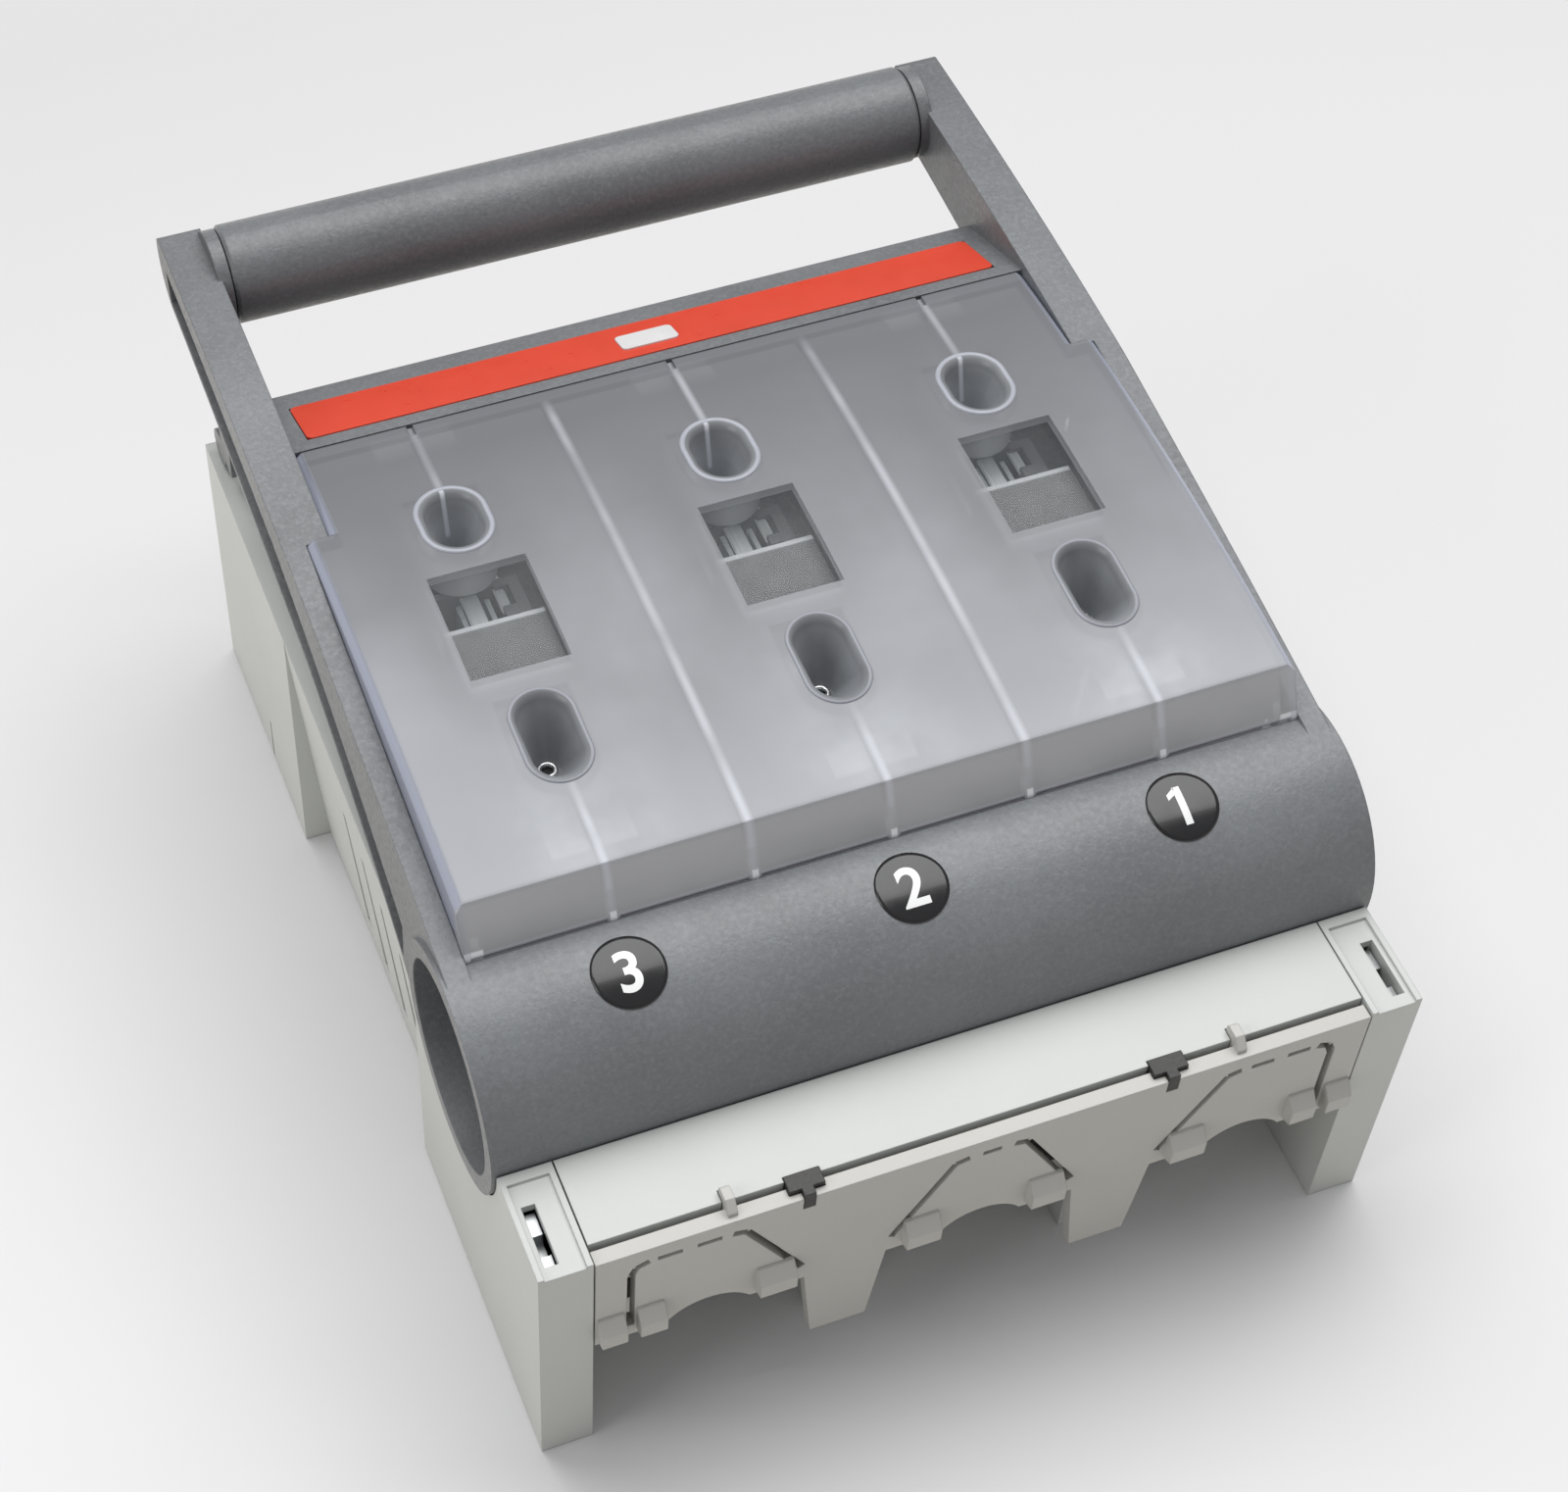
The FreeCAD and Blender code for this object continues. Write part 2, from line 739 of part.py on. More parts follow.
def score_slots():
    half = score_width / 2.0
    inner = leg_top_half_width + 0.9
    centre_reach = pole_pitch / 2.0 - inner
    cuts = []
    for side in (-1, 1):
        outer = side * score_outer_x
        cuts += slot_along([(outer, score_foot_z - 1.5), (outer, score_top_z - 4.0),
                            (outer - side * 1.1, score_top_z - 1.2), (outer - side * 4.0, score_top_z)], half)
        start = side * (pole_pitch - 6.0)
        leg = side * (pole_pitch / 2.0 + inner)
        cuts += slot_along([(start + side * 1.2, score_top_z), (start - side * 2.0, score_top_z - 0.8),
                            (leg, score_foot_z)], half)
        for x in (1.146 * pole_pitch, 1.008 * pole_pitch):
            reach = 0.043 * pole_pitch
            dash = [(side * (x - reach), score_top_z), (side * (x + reach), score_top_z)]
            cuts += slot_along(dash, half * 0.75)
        cuts += slot_along([(side * centre_reach, score_foot_z), (side * 8.6, score_top_z - 0.8),
                            (side * 5.4, score_top_z)], half)
    cuts += slot_along([(-2.2, score_top_z), (2.2, score_top_z)], half * 0.75)
    return cuts


def arches():
    cuts = []
    for x in poles:
        cuts.append(Part.makeCylinder(arch_radius, panel_thickness + clip_depth + 4,
                                      V(x, near_y - clip_depth - 2, arch_z), V(0, 1, 0)))
    return cuts


def clip_boxes():
    clips = []
    edge = cover_half_width
    spans = []
    for side in (-1, 1):
        spans.append((side * (edge - 0.6), side * (score_outer_x + 1.6)))
        spans.append((side * (score_outer_x - 1.4), side * (pole_pitch + 10.6)))
        spans.append((side * (pole_pitch - 11.0), side * (pole_pitch - 19.6)))
        spans.append((side * 11.0, side * 19.2))
    low = clip_low_z
    high = clip_low_z + clip_height
    for a, b in spans:
        outline = [(near_y + 0.5, low), (near_y - clip_depth, low + 1.6), (near_y - clip_depth, high - 3.4),
                   (near_y - 0.6, high), (near_y + 0.5, high)]
        clips.append(polygon_x(outline, min(a, b), max(a, b)))
    return clips


def front_panel():
    top = base_height - panel_ledge_drop
    panel = polygon_y(panel_outline(), near_y, near_y + panel_thickness)
    panel = panel.cut(arches() + score_slots())
    panel = panel.fuse(clip_boxes() + hook_shapes())
    rail = box(-cover_half_width, cover_half_width, near_y, near_y + panel_thickness + 0.4, top - 2.4, top)
    panel = panel.fuse(rail).cut(latch_room())
    return panel.removeSplitter()


# hinged lid

def lid_frame():
    arm = arm_side(arm_inner_thin, base_half_width)
    thick = arm_side(arm_inner_thick, base_half_width).common(
        box(0, far_reach, arm_step_y, far_reach, 0, far_reach))
    arm = arm.fuse(thick)
    shallow = arm_recess(base_half_width - arm_rim_depth, base_half_width + 1, -far_reach)
    deep = arm_recess(base_half_width - arm_rim_depth_thick, base_half_width + 1, arm_step_y + 3.0)
    arm = arm.cut([shallow, deep])
    tube = rod_x(-tube_half_length, tube_half_length, tube_y, tube_z, tube_radius)
    parts = both_sides(arm) + [tray(), cross_beam()] + both_sides(grip_spigot()) + both_sides(tongue())
    body = tube.fuse(parts)
    bore = rod_x(-far_reach, far_reach, tube_y, tube_z, tube_radius - tube_wall)
    return body.cut([bore, strip_seat(), window_seat()] + tray_openings()).removeSplitter()


def tray():
    y0 = tube_y + tube_radius - 3.4
    y1 = plate_near_y + 4.0
    near_side = arm_inner_thin + 1.0
    far_side = arm_inner_thick + 1.0
    high = tray_z + tray_thickness
    near_floor = box(-near_side, near_side, y0, arm_step_y, tray_z, high)
    far_floor = box(-far_side, far_side, arm_step_y - 1.0, y1, tray_z, high)
    near_ledge = box(near_side - ledge_width, near_side, y0 + 3.0, arm_step_y, tray_z, window_rest_z)
    far_ledge = box(far_side - ledge_width, far_side, arm_step_y - 1.0, plate_near_y + 1.0, tray_z, window_rest_z)
    return near_floor.fuse([far_floor] + both_sides(near_ledge) + both_sides(far_ledge))


def tray_openings():
    cuts = []
    for x in poles:
        for y, length in ((probe_near_y, probe_near_length), (probe_far_y, probe_far_length)):
            wide = probe_far_width / 2.0
            cuts.append(box(x - wide, x + wide, y - length / 2.0, y + length / 2.0, 0, tray_z + tray_thickness + 1))
        half = grip_leaf_x + grip_leaf_thickness + 0.5
        cuts.append(box(x - half, x + half, grip_leaf_y - 2.0, grip_leaf_end_y + 0.6, 0,
                        tray_z + tray_thickness + 1))
    return [cut.common(box(-far_reach, far_reach, -far_reach, far_reach, tray_z - 5, far_reach)) for cut in cuts]


def cross_beam():
    side = arm_inner_thick + 1.0
    drop = plate_thickness / math.cos(plate_slope)
    plate = [(plate_near_y, plate_near_z), (plate_far_y, plate_far_z)]
    plate += [(plate_far_y, plate_far_z - drop), (plate_near_y, plate_near_z - drop)]
    skin = polygon_x(plate, -side, side)
    near_wall = box(-side, side, plate_near_y, plate_near_y + 2.6, beam_foot_z, plate_near_z - drop / 2.0)
    far_wall = box(-side, side, plate_far_y - 2.6, plate_far_y, beam_foot_z, plate_far_z - drop / 2.0)
    webs = []
    for x in gaps_between_poles + [-pole_pitch * 1.3, pole_pitch * 1.3]:
        web = [(plate_near_y + 1, plate_near_z - drop), (plate_far_y - 1, plate_far_z - drop + 0.5)]
        web += [(plate_far_y - 1, beam_foot_z), (plate_near_y + 1, beam_foot_z)]
        webs.append(polygon_x(web, x - 1.0, x + 1.0))
    return skin.fuse([near_wall, far_wall] + webs)


def on_plate(along, lift):
    y = plate_near_y + along * math.cos(plate_slope) + lift * math.sin(plate_slope)
    z = plate_near_z - along * math.sin(plate_slope) + lift * math.cos(plate_slope)
    return (y, z)


def plate_slab(half, start, width, low, high, middle):
    outline = [on_plate(start, low), on_plate(start + width, low)]
    outline += [on_plate(start + width, high), on_plate(start, high)]
    return polygon_x(outline, middle - half, middle + half)


def strip_seat():
    return plate_slab(strip_half_length + 0.2, strip_from_near - 0.2, strip_width + 0.4, -strip_sink, 3.0, 0.0)


def upright_edges(slab):
    normal = V(0, math.sin(plate_slope), math.cos(plate_slope))
    return [edge for edge in slab.Edges if abs(abs(edge.tangentAt(0).dot(normal)) - 1.0) < 0.001]


def marking_strip():
    low = -strip_sink
    strip = plate_slab(strip_half_length, strip_from_near, strip_width, low, low + strip_thickness, 0.0)
    return strip.makeFillet(strip_corner, upright_edges(strip))


def white_tag():
    low = strip_thickness - strip_sink
    start = strip_from_near + (strip_width - tag_width) / 2.0 - tag_from_middle
    tag = plate_slab(tag_length / 2.0, start, tag_width, low, low + tag_thickness, tag_x)
    return tag.makeFillet(tag_corner, upright_edges(tag))


def grip_spigot():
    collar = rod_x(grip_half_length + 0.3, arm_inner_thick + 1.0, grip_y, grip_z, collar_radius)
    corners = []
    for step in range(6):
        angle = math.radians(60.0 * step)
        corners.append((grip_y + spigot_radius * math.cos(angle), grip_z + spigot_radius * math.sin(angle)))
    spigot = polygon_x(corners, grip_half_length - spigot_length, arm_inner_thick + 1.0)
    return collar.fuse(spigot)


def tongue():
    x1 = arm_inner_thin + 3.2
    y1 = far_y - tongue_from_end
    middle = base_height + 0.6 + tongue_tip_radius
    web = box(x1 - tongue_width, x1, y1 - tongue_length, y1, middle, arm_low_end_z - arm_flange / 2.0)
    tip = rod_x(x1 - tongue_width, x1, y1 + tongue_tip_ahead, middle, tongue_tip_radius)
    return web.fuse(tip)


def grip_bar():
    bar = rod_x(-grip_half_length, grip_half_length, grip_y, grip_z, grip_radius)
    ends = [edge for edge in bar.Edges if edge.Curve.TypeId == "Part::GeomCircle"]
    bar = bar.makeChamfer(0.8, ends)
    return bar.cut(rod_x(-far_reach, far_reach, grip_y, grip_z, grip_bore_radius))


# window

def window_profile(inset, x0, x1, y_far):
    near_top = at_yz(window_near_y + inset, window_near_z - inset)
    crown = at_yz(window_crown_y, window_crown_z - inset)
    far_top = at_yz(window_far_y - inset, window_far_z - inset)
    far_low = at_yz(window_far_y - inset, window_rest_z - inset)
    near_low = at_yz(window_foot_y + inset, window_rest_z - inset)
    near_foot = at_yz(window_foot_y + inset, window_foot_z - inset)
    edges = [arc(near_top, crown, far_top), line(far_top, far_low), line(far_low, near_low)]
    edges += [line(near_low, near_foot), line(near_foot, near_top)]
    shape = extrude_x(edges, x0, x1)
    return shape.common(box(x0, x1, -far_reach, y_far, 0, far_reach))


def window_block(inset):
    near_half = window_half_near - inset
    far_half = window_half_far - inset
    near = window_profile(inset, -near_half, near_half, arm_step_y - window_gap - inset)
    far = window_profile(inset, -far_half, far_half, far_reach)
    return near.fuse(far).removeSplitter()


def window_seat():
    gap = window_gap
    near_half = window_half_near + gap
    far_half = window_half_far + gap
    near = window_profile(0.0, -near_half, near_half, arm_step_y)
    far = window_profile(0.0, -far_half, far_half, far_reach)
    low = box(-far_reach, far_reach, -far_reach, far_reach, 0, window_rest_z)
    return near.fuse(far).cut(low)


def probe_funnel(x, y, width, length):
    top_z = window_crown_z + 3.0
    reach = (length - width) / 2.0
    wide = width / 2.0
    narrow = probe_tip_width / 2.0
    height = top_z - probe_foot_z
    sides = [(x - narrow, probe_foot_z), (x + narrow, probe_foot_z), (x + wide, top_z), (x - wide, top_z)]
    funnel = polygon_y(sides, y - reach, y + reach)
    ends = [Part.makeCone(narrow, wide, height, V(x, end_y, probe_foot_z)) for end_y in (y - reach, y + reach)]
    return funnel.fuse(ends)


def funnel_wall(x, y, half_width, half_length):
    low = y - half_length + half_width
    wall_shape = box(x - half_width, x + half_width, low, y + half_length, probe_foot_z, far_reach)
    return wall_shape.fuse(rod_z(x, low, half_width, probe_foot_z, far_reach))


def foot_grooves():
    feet = [-window_half_near]
    feet += [0.5 * number * pole_pitch for number in range(-2, 3)]
    feet.append(window_half_near)
    grooves = []
    for a, b in zip(feet[:-1], feet[1:]):
        grooves.append(box(a + foot_width, b - foot_width, window_foot_y - 1.0, window_foot_y + foot_groove,
                           window_foot_z - foot_width, window_foot_z + 0.2))
    return grooves


def far_notches():
    high = window_crown_z + 1.0
    low = window_far_z - foot_groove
    half = rib_width / 2.0
    return [box(x - half, x + half, window_far_y - notch_length, window_far_y + 1.0, low, high) for x in poles]


def window_ribs():
    shapes = []
    for x in gaps_between_poles:
        shapes.append(box(x - rib_width / 2.0, x + rib_width / 2.0, window_foot_y + 1.0, window_far_y - 1.0,
                          window_near_z - rib_depth, far_reach))
    for x in poles:
        shapes.append(box(x - rib_width / 2.0, x + rib_width / 2.0, window_foot_y + 1.0,
                          probe_near_y - probe_near_length / 2.0 + 1.5, window_near_z - rib_depth, far_reach))
        shapes.append(box(x - rib_width / 2.0, x + rib_width / 2.0, probe_far_y + probe_far_length / 2.0 - 1.5,
                          window_far_y - notch_length, window_near_z - rib_depth, far_reach))
    return shapes


def window():
    outer = window_block(0.0)
    top_corner = [edge for edge in outer.Edges if bevel_edge(edge)]
    outer = outer.makeChamfer(window_edge, top_corner)
    inner = window_block(window_wall)
    cut_low = box(-far_reach, far_reach, -far_reach, far_reach, 0, window_rest_z)
    shell = outer.cut([inner])
    ribs = [rib.common(outer) for rib in window_ribs()]
    lips = []
    holes = []
    for x in poles:
        for y, width, length in ((probe_near_y, probe_near_width, probe_near_length),
                                 (probe_far_y, probe_far_width, probe_far_length)):
            lips.append(funnel_wall(x, y, width / 2.0 + probe_lip, length / 2.0 + probe_lip).common(outer))
            holes.append(probe_funnel(x, y, width, length))
    body = shell.fuse(ribs + lips)
    body = body.cut(holes + [cut_low] + foot_grooves() + far_notches())
    return body.removeSplitter()


def bevel_edge(edge):
    middle = edge.valueAt((edge.FirstParameter + edge.LastParameter) / 2.0)
    is_side = abs(abs(middle.x) - window_half_near) < 0.01 or abs(abs(middle.x) - window_half_far) < 0.01
    lies_along = abs(edge.Vertexes[0].Point.y - edge.Vertexes[-1].Point.y) > 10.0
    return is_side and lies_along and middle.z > window_near_z


# fuse carriers and grips in the lid

def carrier(x):
    z0 = tray_z + tray_thickness
    half = carrier_half_width
    step = carrier_step_y
    block = box(x - half, x + half, carrier_near_y, step, z0, z0 + carrier_height)
    room = box(x - half + carrier_wall, x + half - carrier_wall, carrier_near_y + carrier_wall,
               step - carrier_wall, z0 - 1, z0 + carrier_height - carrier_wall)
    frame = box(x - half, x + half, step - 1, carrier_far_y, z0, z0 + carrier_frame_height)
    well = box(x - half + carrier_wall, x + grip_leaf_x + 3.0, step, carrier_far_y - carrier_wall, z0 - 1,
               z0 + carrier_frame_height + 1)
    pockets = []
    pocket = 0.31 * (carrier_far_y - step)
    for y in (step + 2.0, step + 5.0 + pocket):
        pockets.append(box(x + grip_leaf_x + 2.0, x + half - 3.0, y, y + pocket, z0 + 5.0,
                           z0 + carrier_frame_height + 1))
    return block.cut(room).fuse(frame.cut([well] + pockets)).removeSplitter()


def grip_leaf(x, side):
    t = grip_leaf_thickness
    z0 = tray_z + tray_thickness
    high = z0 + carrier_frame_height - 2.0
    low = z0 - grip_leaf_drop
    near = x + side * grip_leaf_x
    y0 = grip_leaf_y
    y1 = grip_leaf_end_y
    lead = 1.8
    profile = [(near, high), (near + side * t, high), (near + side * t, low + 3.0)]
    profile += [(near + side * (t + lead), low), (near + side * lead, low), (near, low + 3.0)]
    upright = polygon_y(profile, y0, y1)
    foot = near + side * grip_foot_width
    wing = box(min(near, foot), max(near, foot), y0 + 2.0, y1, z0, z0 + t)
    return upright.fuse(wing).removeSplitter()


# current path

def contact(x, jaw_y, end_y, inward):
    half = bar_width / 2.0
    bar_end = end_y + inward * bar_inset
    t = bar_thickness
    jaw_back = jaw_y - inward * (jaw_length / 2.0 + riser_gap + t)
    jaw_front = jaw_y + inward * jaw_length / 2.0
    outline = [(bar_end, bar_z), (bar_end, bar_z + t), (jaw_back + inward * t, bar_z + t)]
    outline += [(jaw_back + inward * t, jaw_floor_z + t), (jaw_front, jaw_floor_z + t), (jaw_front, jaw_floor_z)]
    outline += [(jaw_back, jaw_floor_z), (jaw_back, bar_z)]
    strip = polygon_x(outline, x - half, x + half)
    y0 = jaw_y - jaw_length / 2.0
    y1 = jaw_y + jaw_length / 2.0
    strip = strip.cut(rod_z(x, end_y + inward * bolt_inset, bolt_radius + 0.5, 0, far_reach))
    leaves = []
    for side in (-1, 1):
        inner = leaf_gap / 2.0
        outer = inner + leaf_thickness
        z0 = jaw_floor_z + t - 0.5
        z1 = z0 + jaw_height - 3.0
        z2 = z0 + jaw_height
        flare = leaf_flare
        points = [(inner, z0), (inner, z1), (inner + flare, z2), (outer + flare, z2), (outer, z1), (outer, z0)]
        corners = [(x + side * px, pz) for px, pz in points]
        leaves.append(polygon_y(corners, y0, y1))
    return strip.fuse(leaves).removeSplitter()


def jaw_spring(x, jaw_y):
    t = spring_thickness
    inner = leaf_gap / 2.0 + leaf_thickness
    outer = inner + t
    z0 = jaw_floor_z + bar_thickness
    z1 = z0 + spring_height
    y0 = jaw_y - jaw_length / 2.0 - t
    y1 = jaw_y + jaw_length / 2.0 + t
    loop = box(x - outer, x + outer, y0, y1, z0, z1)
    hole = box(x - inner, x + inner, y0 + t, y1 - t, z0 - 1, z1 + 1)
    return loop.cut(hole)


def terminal_places():
    places = []
    for x in poles:
        places.append((x, near_y + bolt_inset))
        places.append((x, far_y - bolt_inset))
    return places


def terminal_bolt(x, y):
    seat = bar_z + bar_thickness
    head = hexagon(x, y, head_across, seat, seat + head_height)
    shank = rod_z(x, y, bolt_radius, bar_z - nut_height, seat + 1)
    return head.fuse(shank).removeSplitter()


def nut(x, y):
    body = hexagon(x, y, head_across, bar_z - nut_height, bar_z)
    return body.cut(rod_z(x, y, bolt_radius, 0, far_reach))


def arc_plates(x):
    plates = []
    y0 = jaw_far_y - arc_plate_depth / 2.0
    half = arc_plate_half_width
    notch = arc_notch_half_width
    for number in range(arc_plate_count):
        z = arc_first_z + number * arc_plate_pitch
        plate = box(x - half, x + half, y0, y0 + arc_plate_depth, z, z + arc_plate_thickness)
        throat = box(x - notch, x + notch, y0 - 1, y0 + arc_plate_depth - 5.0, z - 1, z + 3)
        plates.append(plate.cut(throat))
    return Part.makeCompound(plates)


def slot_clip(side):
    rim_x = base_half_width - pocket_rim
    x1 = rim_x - 1.2 - 0.2
    x0 = x1 - slot_width + 0.4
    y0 = near_y + slot_from_end + 0.2
    clip = box(x0, x1, y0, y0 + slot_length - 0.4, base_height - 19.0, base_height - 4.0)
    notch = box(x0 - 1, x1 + 1, y0 + 4.0, y0 + slot_length - 6.0, base_height - 8.0, base_height)
    clip = clip.cut(notch)
    return clip if side > 0 else mirrored_x(clip)


def build_all():
    os.makedirs("parts", exist_ok=True)
    write("base_body", base_body())
    write("lid_frame", lid_frame())
    write("grip_bar", grip_bar())
    write("window", window())
    write("marking_strip", marking_strip())
    write("white_tag", white_tag())
    write("near_top_cover", near_top_cover())
    write("near_front_panel", front_panel())
    write("far_top_cover", far_top_cover())
    write("far_front_panel", turned(front_panel()))
    latches = latch_shape(0.0)
    write("near_latch_left", latches[0])
    write("near_latch_right", latches[1])
    write("far_latch_left", turned(latches[1]))
    write("far_latch_right", turned(latches[0]))
    write("slot_clip_left", slot_clip(-1))
    write("slot_clip_right", slot_clip(1))
    for number, x in enumerate(poles, 1):
        name = str(number)
        write("fuse_carrier_" + name, carrier(x))
        write("fuse_grips_" + name, Part.makeCompound([grip_leaf(x, -1), grip_leaf(x, 1)]))
        write("near_contact_" + name, contact(x, jaw_near_y, near_y, 1))
        write("far_contact_" + name, contact(x, jaw_far_y, far_y, -1))
        write("near_jaw_spring_" + name, jaw_spring(x, jaw_near_y))
        write("far_jaw_spring_" + name, jaw_spring(x, jaw_far_y))
        write("arc_plates_" + name, arc_plates(x))
    write("terminal_bolts", Part.makeCompound([terminal_bolt(x, y) for x, y in terminal_places()]))
    write("terminal_nuts", Part.makeCompound([nut(x, y) for x, y in terminal_places()]))


build_all()
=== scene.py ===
import json
import math

import bmesh
import bpy
from mathutils import Matrix, Vector


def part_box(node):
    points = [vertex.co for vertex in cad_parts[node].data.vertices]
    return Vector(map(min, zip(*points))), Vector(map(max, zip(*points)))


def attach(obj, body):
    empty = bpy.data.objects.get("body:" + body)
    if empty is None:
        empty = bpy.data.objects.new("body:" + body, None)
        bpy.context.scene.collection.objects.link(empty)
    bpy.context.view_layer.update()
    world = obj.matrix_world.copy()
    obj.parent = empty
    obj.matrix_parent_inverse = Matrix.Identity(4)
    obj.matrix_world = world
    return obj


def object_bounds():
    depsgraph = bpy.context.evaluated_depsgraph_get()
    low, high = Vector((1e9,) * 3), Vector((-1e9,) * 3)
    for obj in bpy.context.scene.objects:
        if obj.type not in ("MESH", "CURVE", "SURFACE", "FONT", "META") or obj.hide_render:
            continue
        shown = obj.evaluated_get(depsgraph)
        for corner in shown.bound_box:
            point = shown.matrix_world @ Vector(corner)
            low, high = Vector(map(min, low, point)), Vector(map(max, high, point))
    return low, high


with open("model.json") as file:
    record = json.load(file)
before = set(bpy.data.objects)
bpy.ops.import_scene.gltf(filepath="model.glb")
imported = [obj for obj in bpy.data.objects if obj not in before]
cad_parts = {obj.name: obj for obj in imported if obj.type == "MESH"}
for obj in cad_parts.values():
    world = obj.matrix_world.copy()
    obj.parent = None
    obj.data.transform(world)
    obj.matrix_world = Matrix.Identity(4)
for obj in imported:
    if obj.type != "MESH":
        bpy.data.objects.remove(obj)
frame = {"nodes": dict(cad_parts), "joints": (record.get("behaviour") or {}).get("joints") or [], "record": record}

nodes_of_frame = frame["nodes"]
cad_low, cad_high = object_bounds()
mm = 0.001

# places taken from the frame; the fixing holes stand one pole pitch apart
hinge = frame["joints"][0]
tube_y = hinge["pos_m"][1]
tube_z = hinge["pos_m"][2]
tube_radius = 28.9 * mm
pitch = frame["record"]["mounts"][0]["dims"]["spacing_x_mm"] * mm
poles = (-pitch, 0.0, pitch)
window_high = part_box("window")[1]
carrier_low, carrier_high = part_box("fuse_carrier_2")

# camera, at the photograph's viewing angle: place in metres, angles in degrees, lens in millimetres
camera_place = (-0.20198, -0.45172, 0.65549)
camera_heading = 22.544
camera_dip = 53.345
camera_roll = 2.233
camera_lens = 72.105
camera_shift = (0.0712, 0.0609)
sensor_width = 36.0

# lights
sky_colour = (0.97, 0.98, 1.0, 1.0)
sky_strength = 0.36
lit_point = (0, 0, 0.06)
overhead_place = (0.20, 0.50, 1.50)
overhead_size = (2.0, 1.2)
overhead_power = 28.5
fill_place = (-1.5, -0.2, 0.9)
fill_size = (0.9, 0.9)
fill_power = 6.0

# floor
floor_size = 8.0
floor_drop = 0.2 * mm
# span of y over which the floor darkens away from the camera: painted shade
floor_painted_shade_span = (-0.10, 0.35)

# clear panes of the window, as offsets from the pole
pane_half_width = 11.8 * mm
pane_near_y = -31.9 * mm
pane_far_y = -0.4 * mm
pane_edge = 0.2 * mm

# funnels of the window: middle, reach of the straight sides, half width at the top, middle of the foot
near_funnel = (-50.9 * mm, 5.15 * mm, 7.1 * mm, -48.3 * mm)
far_funnel = (15.15 * mm, 2.25 * mm, 7.5 * mm, 16.8 * mm)
funnel_top_z = 128.6 * mm
funnel_low_z = 111.0 * mm
funnel_narrow = 4.0 * mm
funnel_foot_z = 108.2 * mm
funnel_foot_radius = 2.1 * mm
funnel_rib_foot_z = 113.0 * mm
near_flare = 0.2 * mm
far_flare = 0.5 * mm
near_bead = 0.6 * mm
far_bead = 0.75 * mm

# faces and ribs of the window
front_y = -84.8 * mm
underside_z = 120.6 * mm
rim_width = 1.2 * mm
step_y = 20.2 * mm
step_in = 5.5 * mm
foot_z = 110.2 * mm
foot_corner_x = 94.0 * mm
rib_far_y = 47.0 * mm
rib_low_z = 116.2 * mm
funnel_room = 9.8 * mm
funnels_from_y = -79.0 * mm

# carriers and the bright tags in them: low and high corner beside the pole
carrier_edge_y = carrier_low.y + 20.6 * mm
left_tag = ((-2.6 * mm, -5.6 * mm), (1.6 * mm, 5.4 * mm))
right_tag = ((5.4 * mm, -2.4 * mm), (8.0 * mm, 10.4 * mm))
tag_low_z = 108.6 * mm
tag_high_z = 109.4 * mm

# number discs on the tube
disc_digits = "321"
disc_aside = -1.5 * mm
disc_along = -7.6 * mm
disc_radius = 8.3 * mm
disc_thickness = 0.18 * mm
numeral_height = 9.0 * mm
numeral_lift = 0.22 * mm
numeral_weight = 0.25 * mm
font_share = 1.42

# waves of noise per metre
floor_cloud = 1.2
moulding_cloud = 18.0
moulding_flow = 26.0
milk_cloud = 26.0
front_blot = 34.0
rib_waver = 42.0
satin_wear = 60.0
funnel_cloud = 70.0
glow_cloud = 75.0
carrier_cloud = 150.0
satin_rub = 240.0
fibre_patch = 700.0
fibre_mottle = 820.0
fibre_pits = 980.0
metal_streak = (40.0, 900.0)
frost_grain = 1100.0
fine_grain = 1500.0

# colours, linear
base_grey = (0.570, 0.585, 0.565)
# front panels: the base grey darkened and warmed, painted shade and painted floor bounce on the front faces
panel_painted_shade_grey = (0.528, 0.520, 0.490)
lid_grey = (0.158, 0.165, 0.173)
window_haze = (0.36, 0.37, 0.395)
window_line = (0.60, 0.61, 0.67)
# side faces of the window: a lighter bluish tone, painted light
side_painted_light_tone = (0.50, 0.53, 0.64)
# front face and underside of the window: a lighter tone, painted light carried through the frosted plastic
front_and_underside_painted_light = (0.62, 0.62, 0.635)
pane_glass = (0.34, 0.36, 0.38)
foot_white = (0.94, 0.94, 0.96)
funnel_grey = (0.275, 0.285, 0.30)
# outside of the funnels below the skin: near white, a painted glow of light carried through the frosted plastic
funnel_wall_painted_glow = (0.94, 0.95, 0.97)
lip_haze = (0.36, 0.37, 0.415)
strip_red = (0.62, 0.056, 0.026)
label_white = (0.63, 0.62, 0.62)
disc_black = (0.012, 0.012, 0.013)
numeral_white = (0.86, 0.86, 0.86)
latch_dark = (0.030, 0.030, 0.028)
carrier_grey = (0.092, 0.095, 0.099)
steel_bright = (0.72, 0.74, 0.74)
steel_zinc = (0.50, 0.52, 0.52)
# tags in the carriers: near white, partly the steel's own pale tone and partly painted glint
pale_tag_and_painted_glint = (0.94, 0.98, 0.99)
grip_plating = (0.80, 0.86, 0.87)
copper_plated = (0.70, 0.62, 0.52)
floor_colour = (0.775, 0.770, 0.775)
floor_bounce = (0.77, 0.745, 0.71)


# materials

